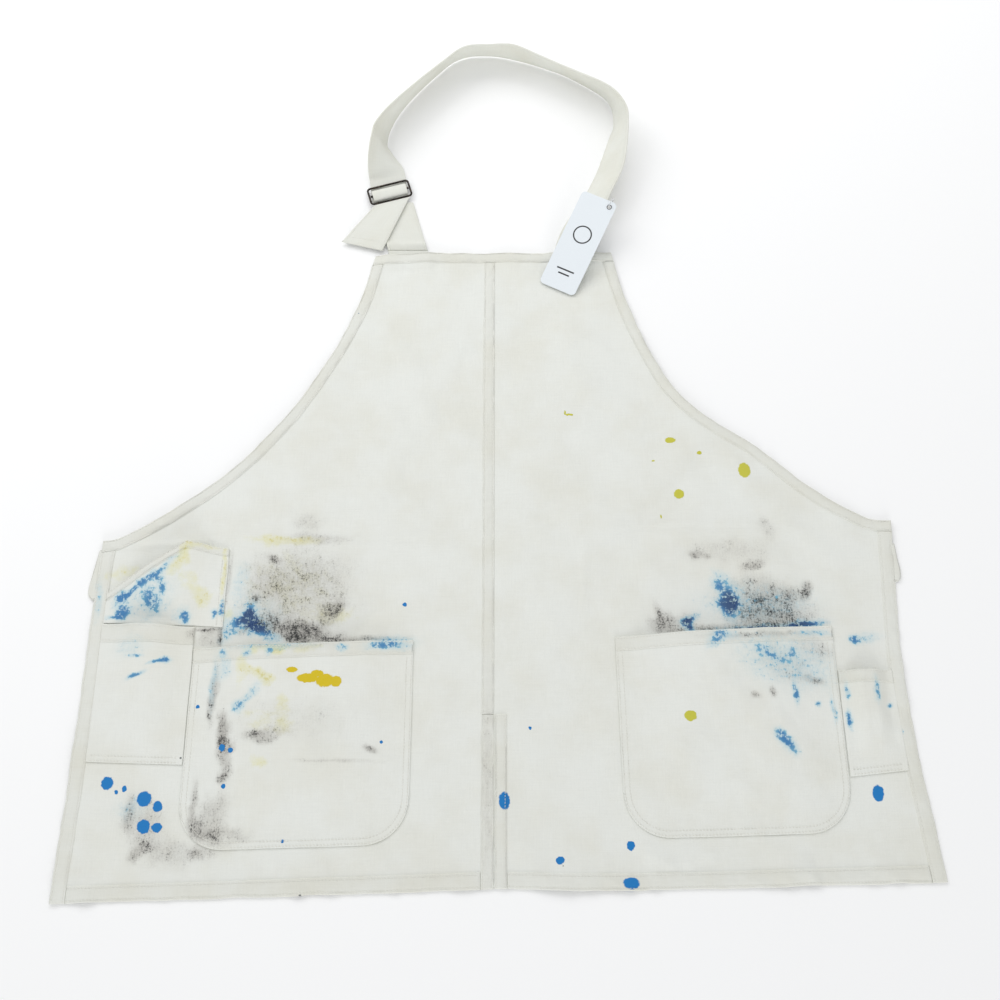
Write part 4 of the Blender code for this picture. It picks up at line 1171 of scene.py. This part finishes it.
def make_tag():
    local = Euler((TAG_PITCH, 0, TAG_TURN)).to_matrix().to_4x4()
    local.translation = (TAG_CENTRE[0], TAG_CENTRE[1] - LENGTH / 2, TAG_HEIGHT)
    shape = bmesh.new()
    rims = rounded_box(*TAG_SIZE, TAG_CORNER, 10), circle(TAG_HOLE_RADIUS, 28, TAG_HOLE)
    rims = [[shape.verts.new(p) for p in rim] for rim in rims]
    edges = [shape.edges.new((rim[k - 1], rim[k])) for rim in rims for k in range(len(rim))]
    bmesh.ops.triangle_fill(shape, use_beauty=True, use_dissolve=False, edges=edges)
    bmesh.ops.translate(shape, verts=shape.verts, vec=(0, 0, -TAG_THICKNESS / 2))
    raised = bmesh.ops.extrude_face_region(shape, geom=shape.faces[:])
    lifted = [g for g in raised["geom"] if isinstance(g, bmesh.types.BMVert)]
    bmesh.ops.translate(shape, verts=lifted, vec=(0, 0, TAG_THICKNESS))
    bmesh.ops.recalc_face_normals(shape, faces=shape.faces)
    mesh = bpy.data.meshes.new("printed_tag")
    shape.to_mesh(mesh)
    shape.free()
    uv = mesh.uv_layers.new(name="Cloth")
    for loop in mesh.loops:
        uv.data[loop.index].uv = mesh.vertices[loop.vertex_index].co.xy
    mesh.transform(local)
    mesh.shade_smooth()
    mesh.set_sharp_from_angle(angle=math.radians(40))
    finished(bpy.data.objects.new("printed_tag", mesh), CARD, "tag", ["hang_tag"])

    hole_place = local.copy()
    hole_place.translation = local @ Vector((*TAG_HOLE, 0))
    eyelet = circle(TAG_HOLE_RADIUS + 0.0005, 28, z=TAG_THICKNESS / 2)
    tube("tag_eyelet", eyelet, 0.00035, CARD, "tag_card", "tag", hole_place, 10)
    ring = [(0, y, z) for y, z, _ in circle(RING_RADIUS, 48, (RING_RADIUS, 0))]
    tube("tag_filament", ring, RING_WIRE, NYLON, "tag_nylon", "tag_ring", hole_place, replaces=["tag_ring"])


# Stage


def make_stage():
    mesh = bpy.data.meshes.new("floor")
    mesh.from_pydata([(-6, -6, 0), (6, -6, 0), (6, 6, 0), (-6, 6, 0)], [], [(0, 1, 2, 3)])
    floor = bpy.data.objects.new("floor", mesh)
    floor.location = (0, 0, -0.0002)
    look = Tree("floor")
    floor.data.materials.append(look.surface((0.97, 0.97, 0.97), 0.8))
    bpy.context.scene.collection.objects.link(floor)

    world = bpy.data.worlds.new("studio")
    world.use_nodes = True
    sky = world.node_tree.nodes["Background"].inputs
    sky["Color"].default_value = (0.98, 0.99, 1.0, 1.0)
    sky["Strength"].default_value = 0.66
    bpy.context.scene.world = world
    for name, spot, size, power in (
        ("key", (-1.3, 1.2, 1.35), 1.3, 13.0),
        ("top", (0.1, 1.6, 1.5), 1.5, 12.0),
        ("front", (0.4, -4.2, 0.9), 1.8, 60.0),
    ):
        light = bpy.data.lights.new(name, "AREA")
        light.energy = power
        light.size = size
        lamp = bpy.data.objects.new(name, light)
        lamp.location = spot
        lamp.rotation_euler = (-Vector(spot)).to_track_quat("-Z", "Y").to_euler()
        bpy.context.scene.collection.objects.link(lamp)

    lens = bpy.data.cameras.new("camera")
    lens.lens = 48.6
    lens.sensor_width = 36.0
    camera = bpy.data.objects.new("camera", lens)
    camera.location = (0, -0.6125, 1.2427)
    camera.rotation_euler = (math.radians(23), 0, 0)
    bpy.context.scene.collection.objects.link(camera)
    bpy.context.scene.camera = camera
    bpy.context.scene.view_settings.view_transform = "Standard"


make_stage()
make_body()
make_pockets()
make_strap()
make_tab()
make_slider()
make_tag()
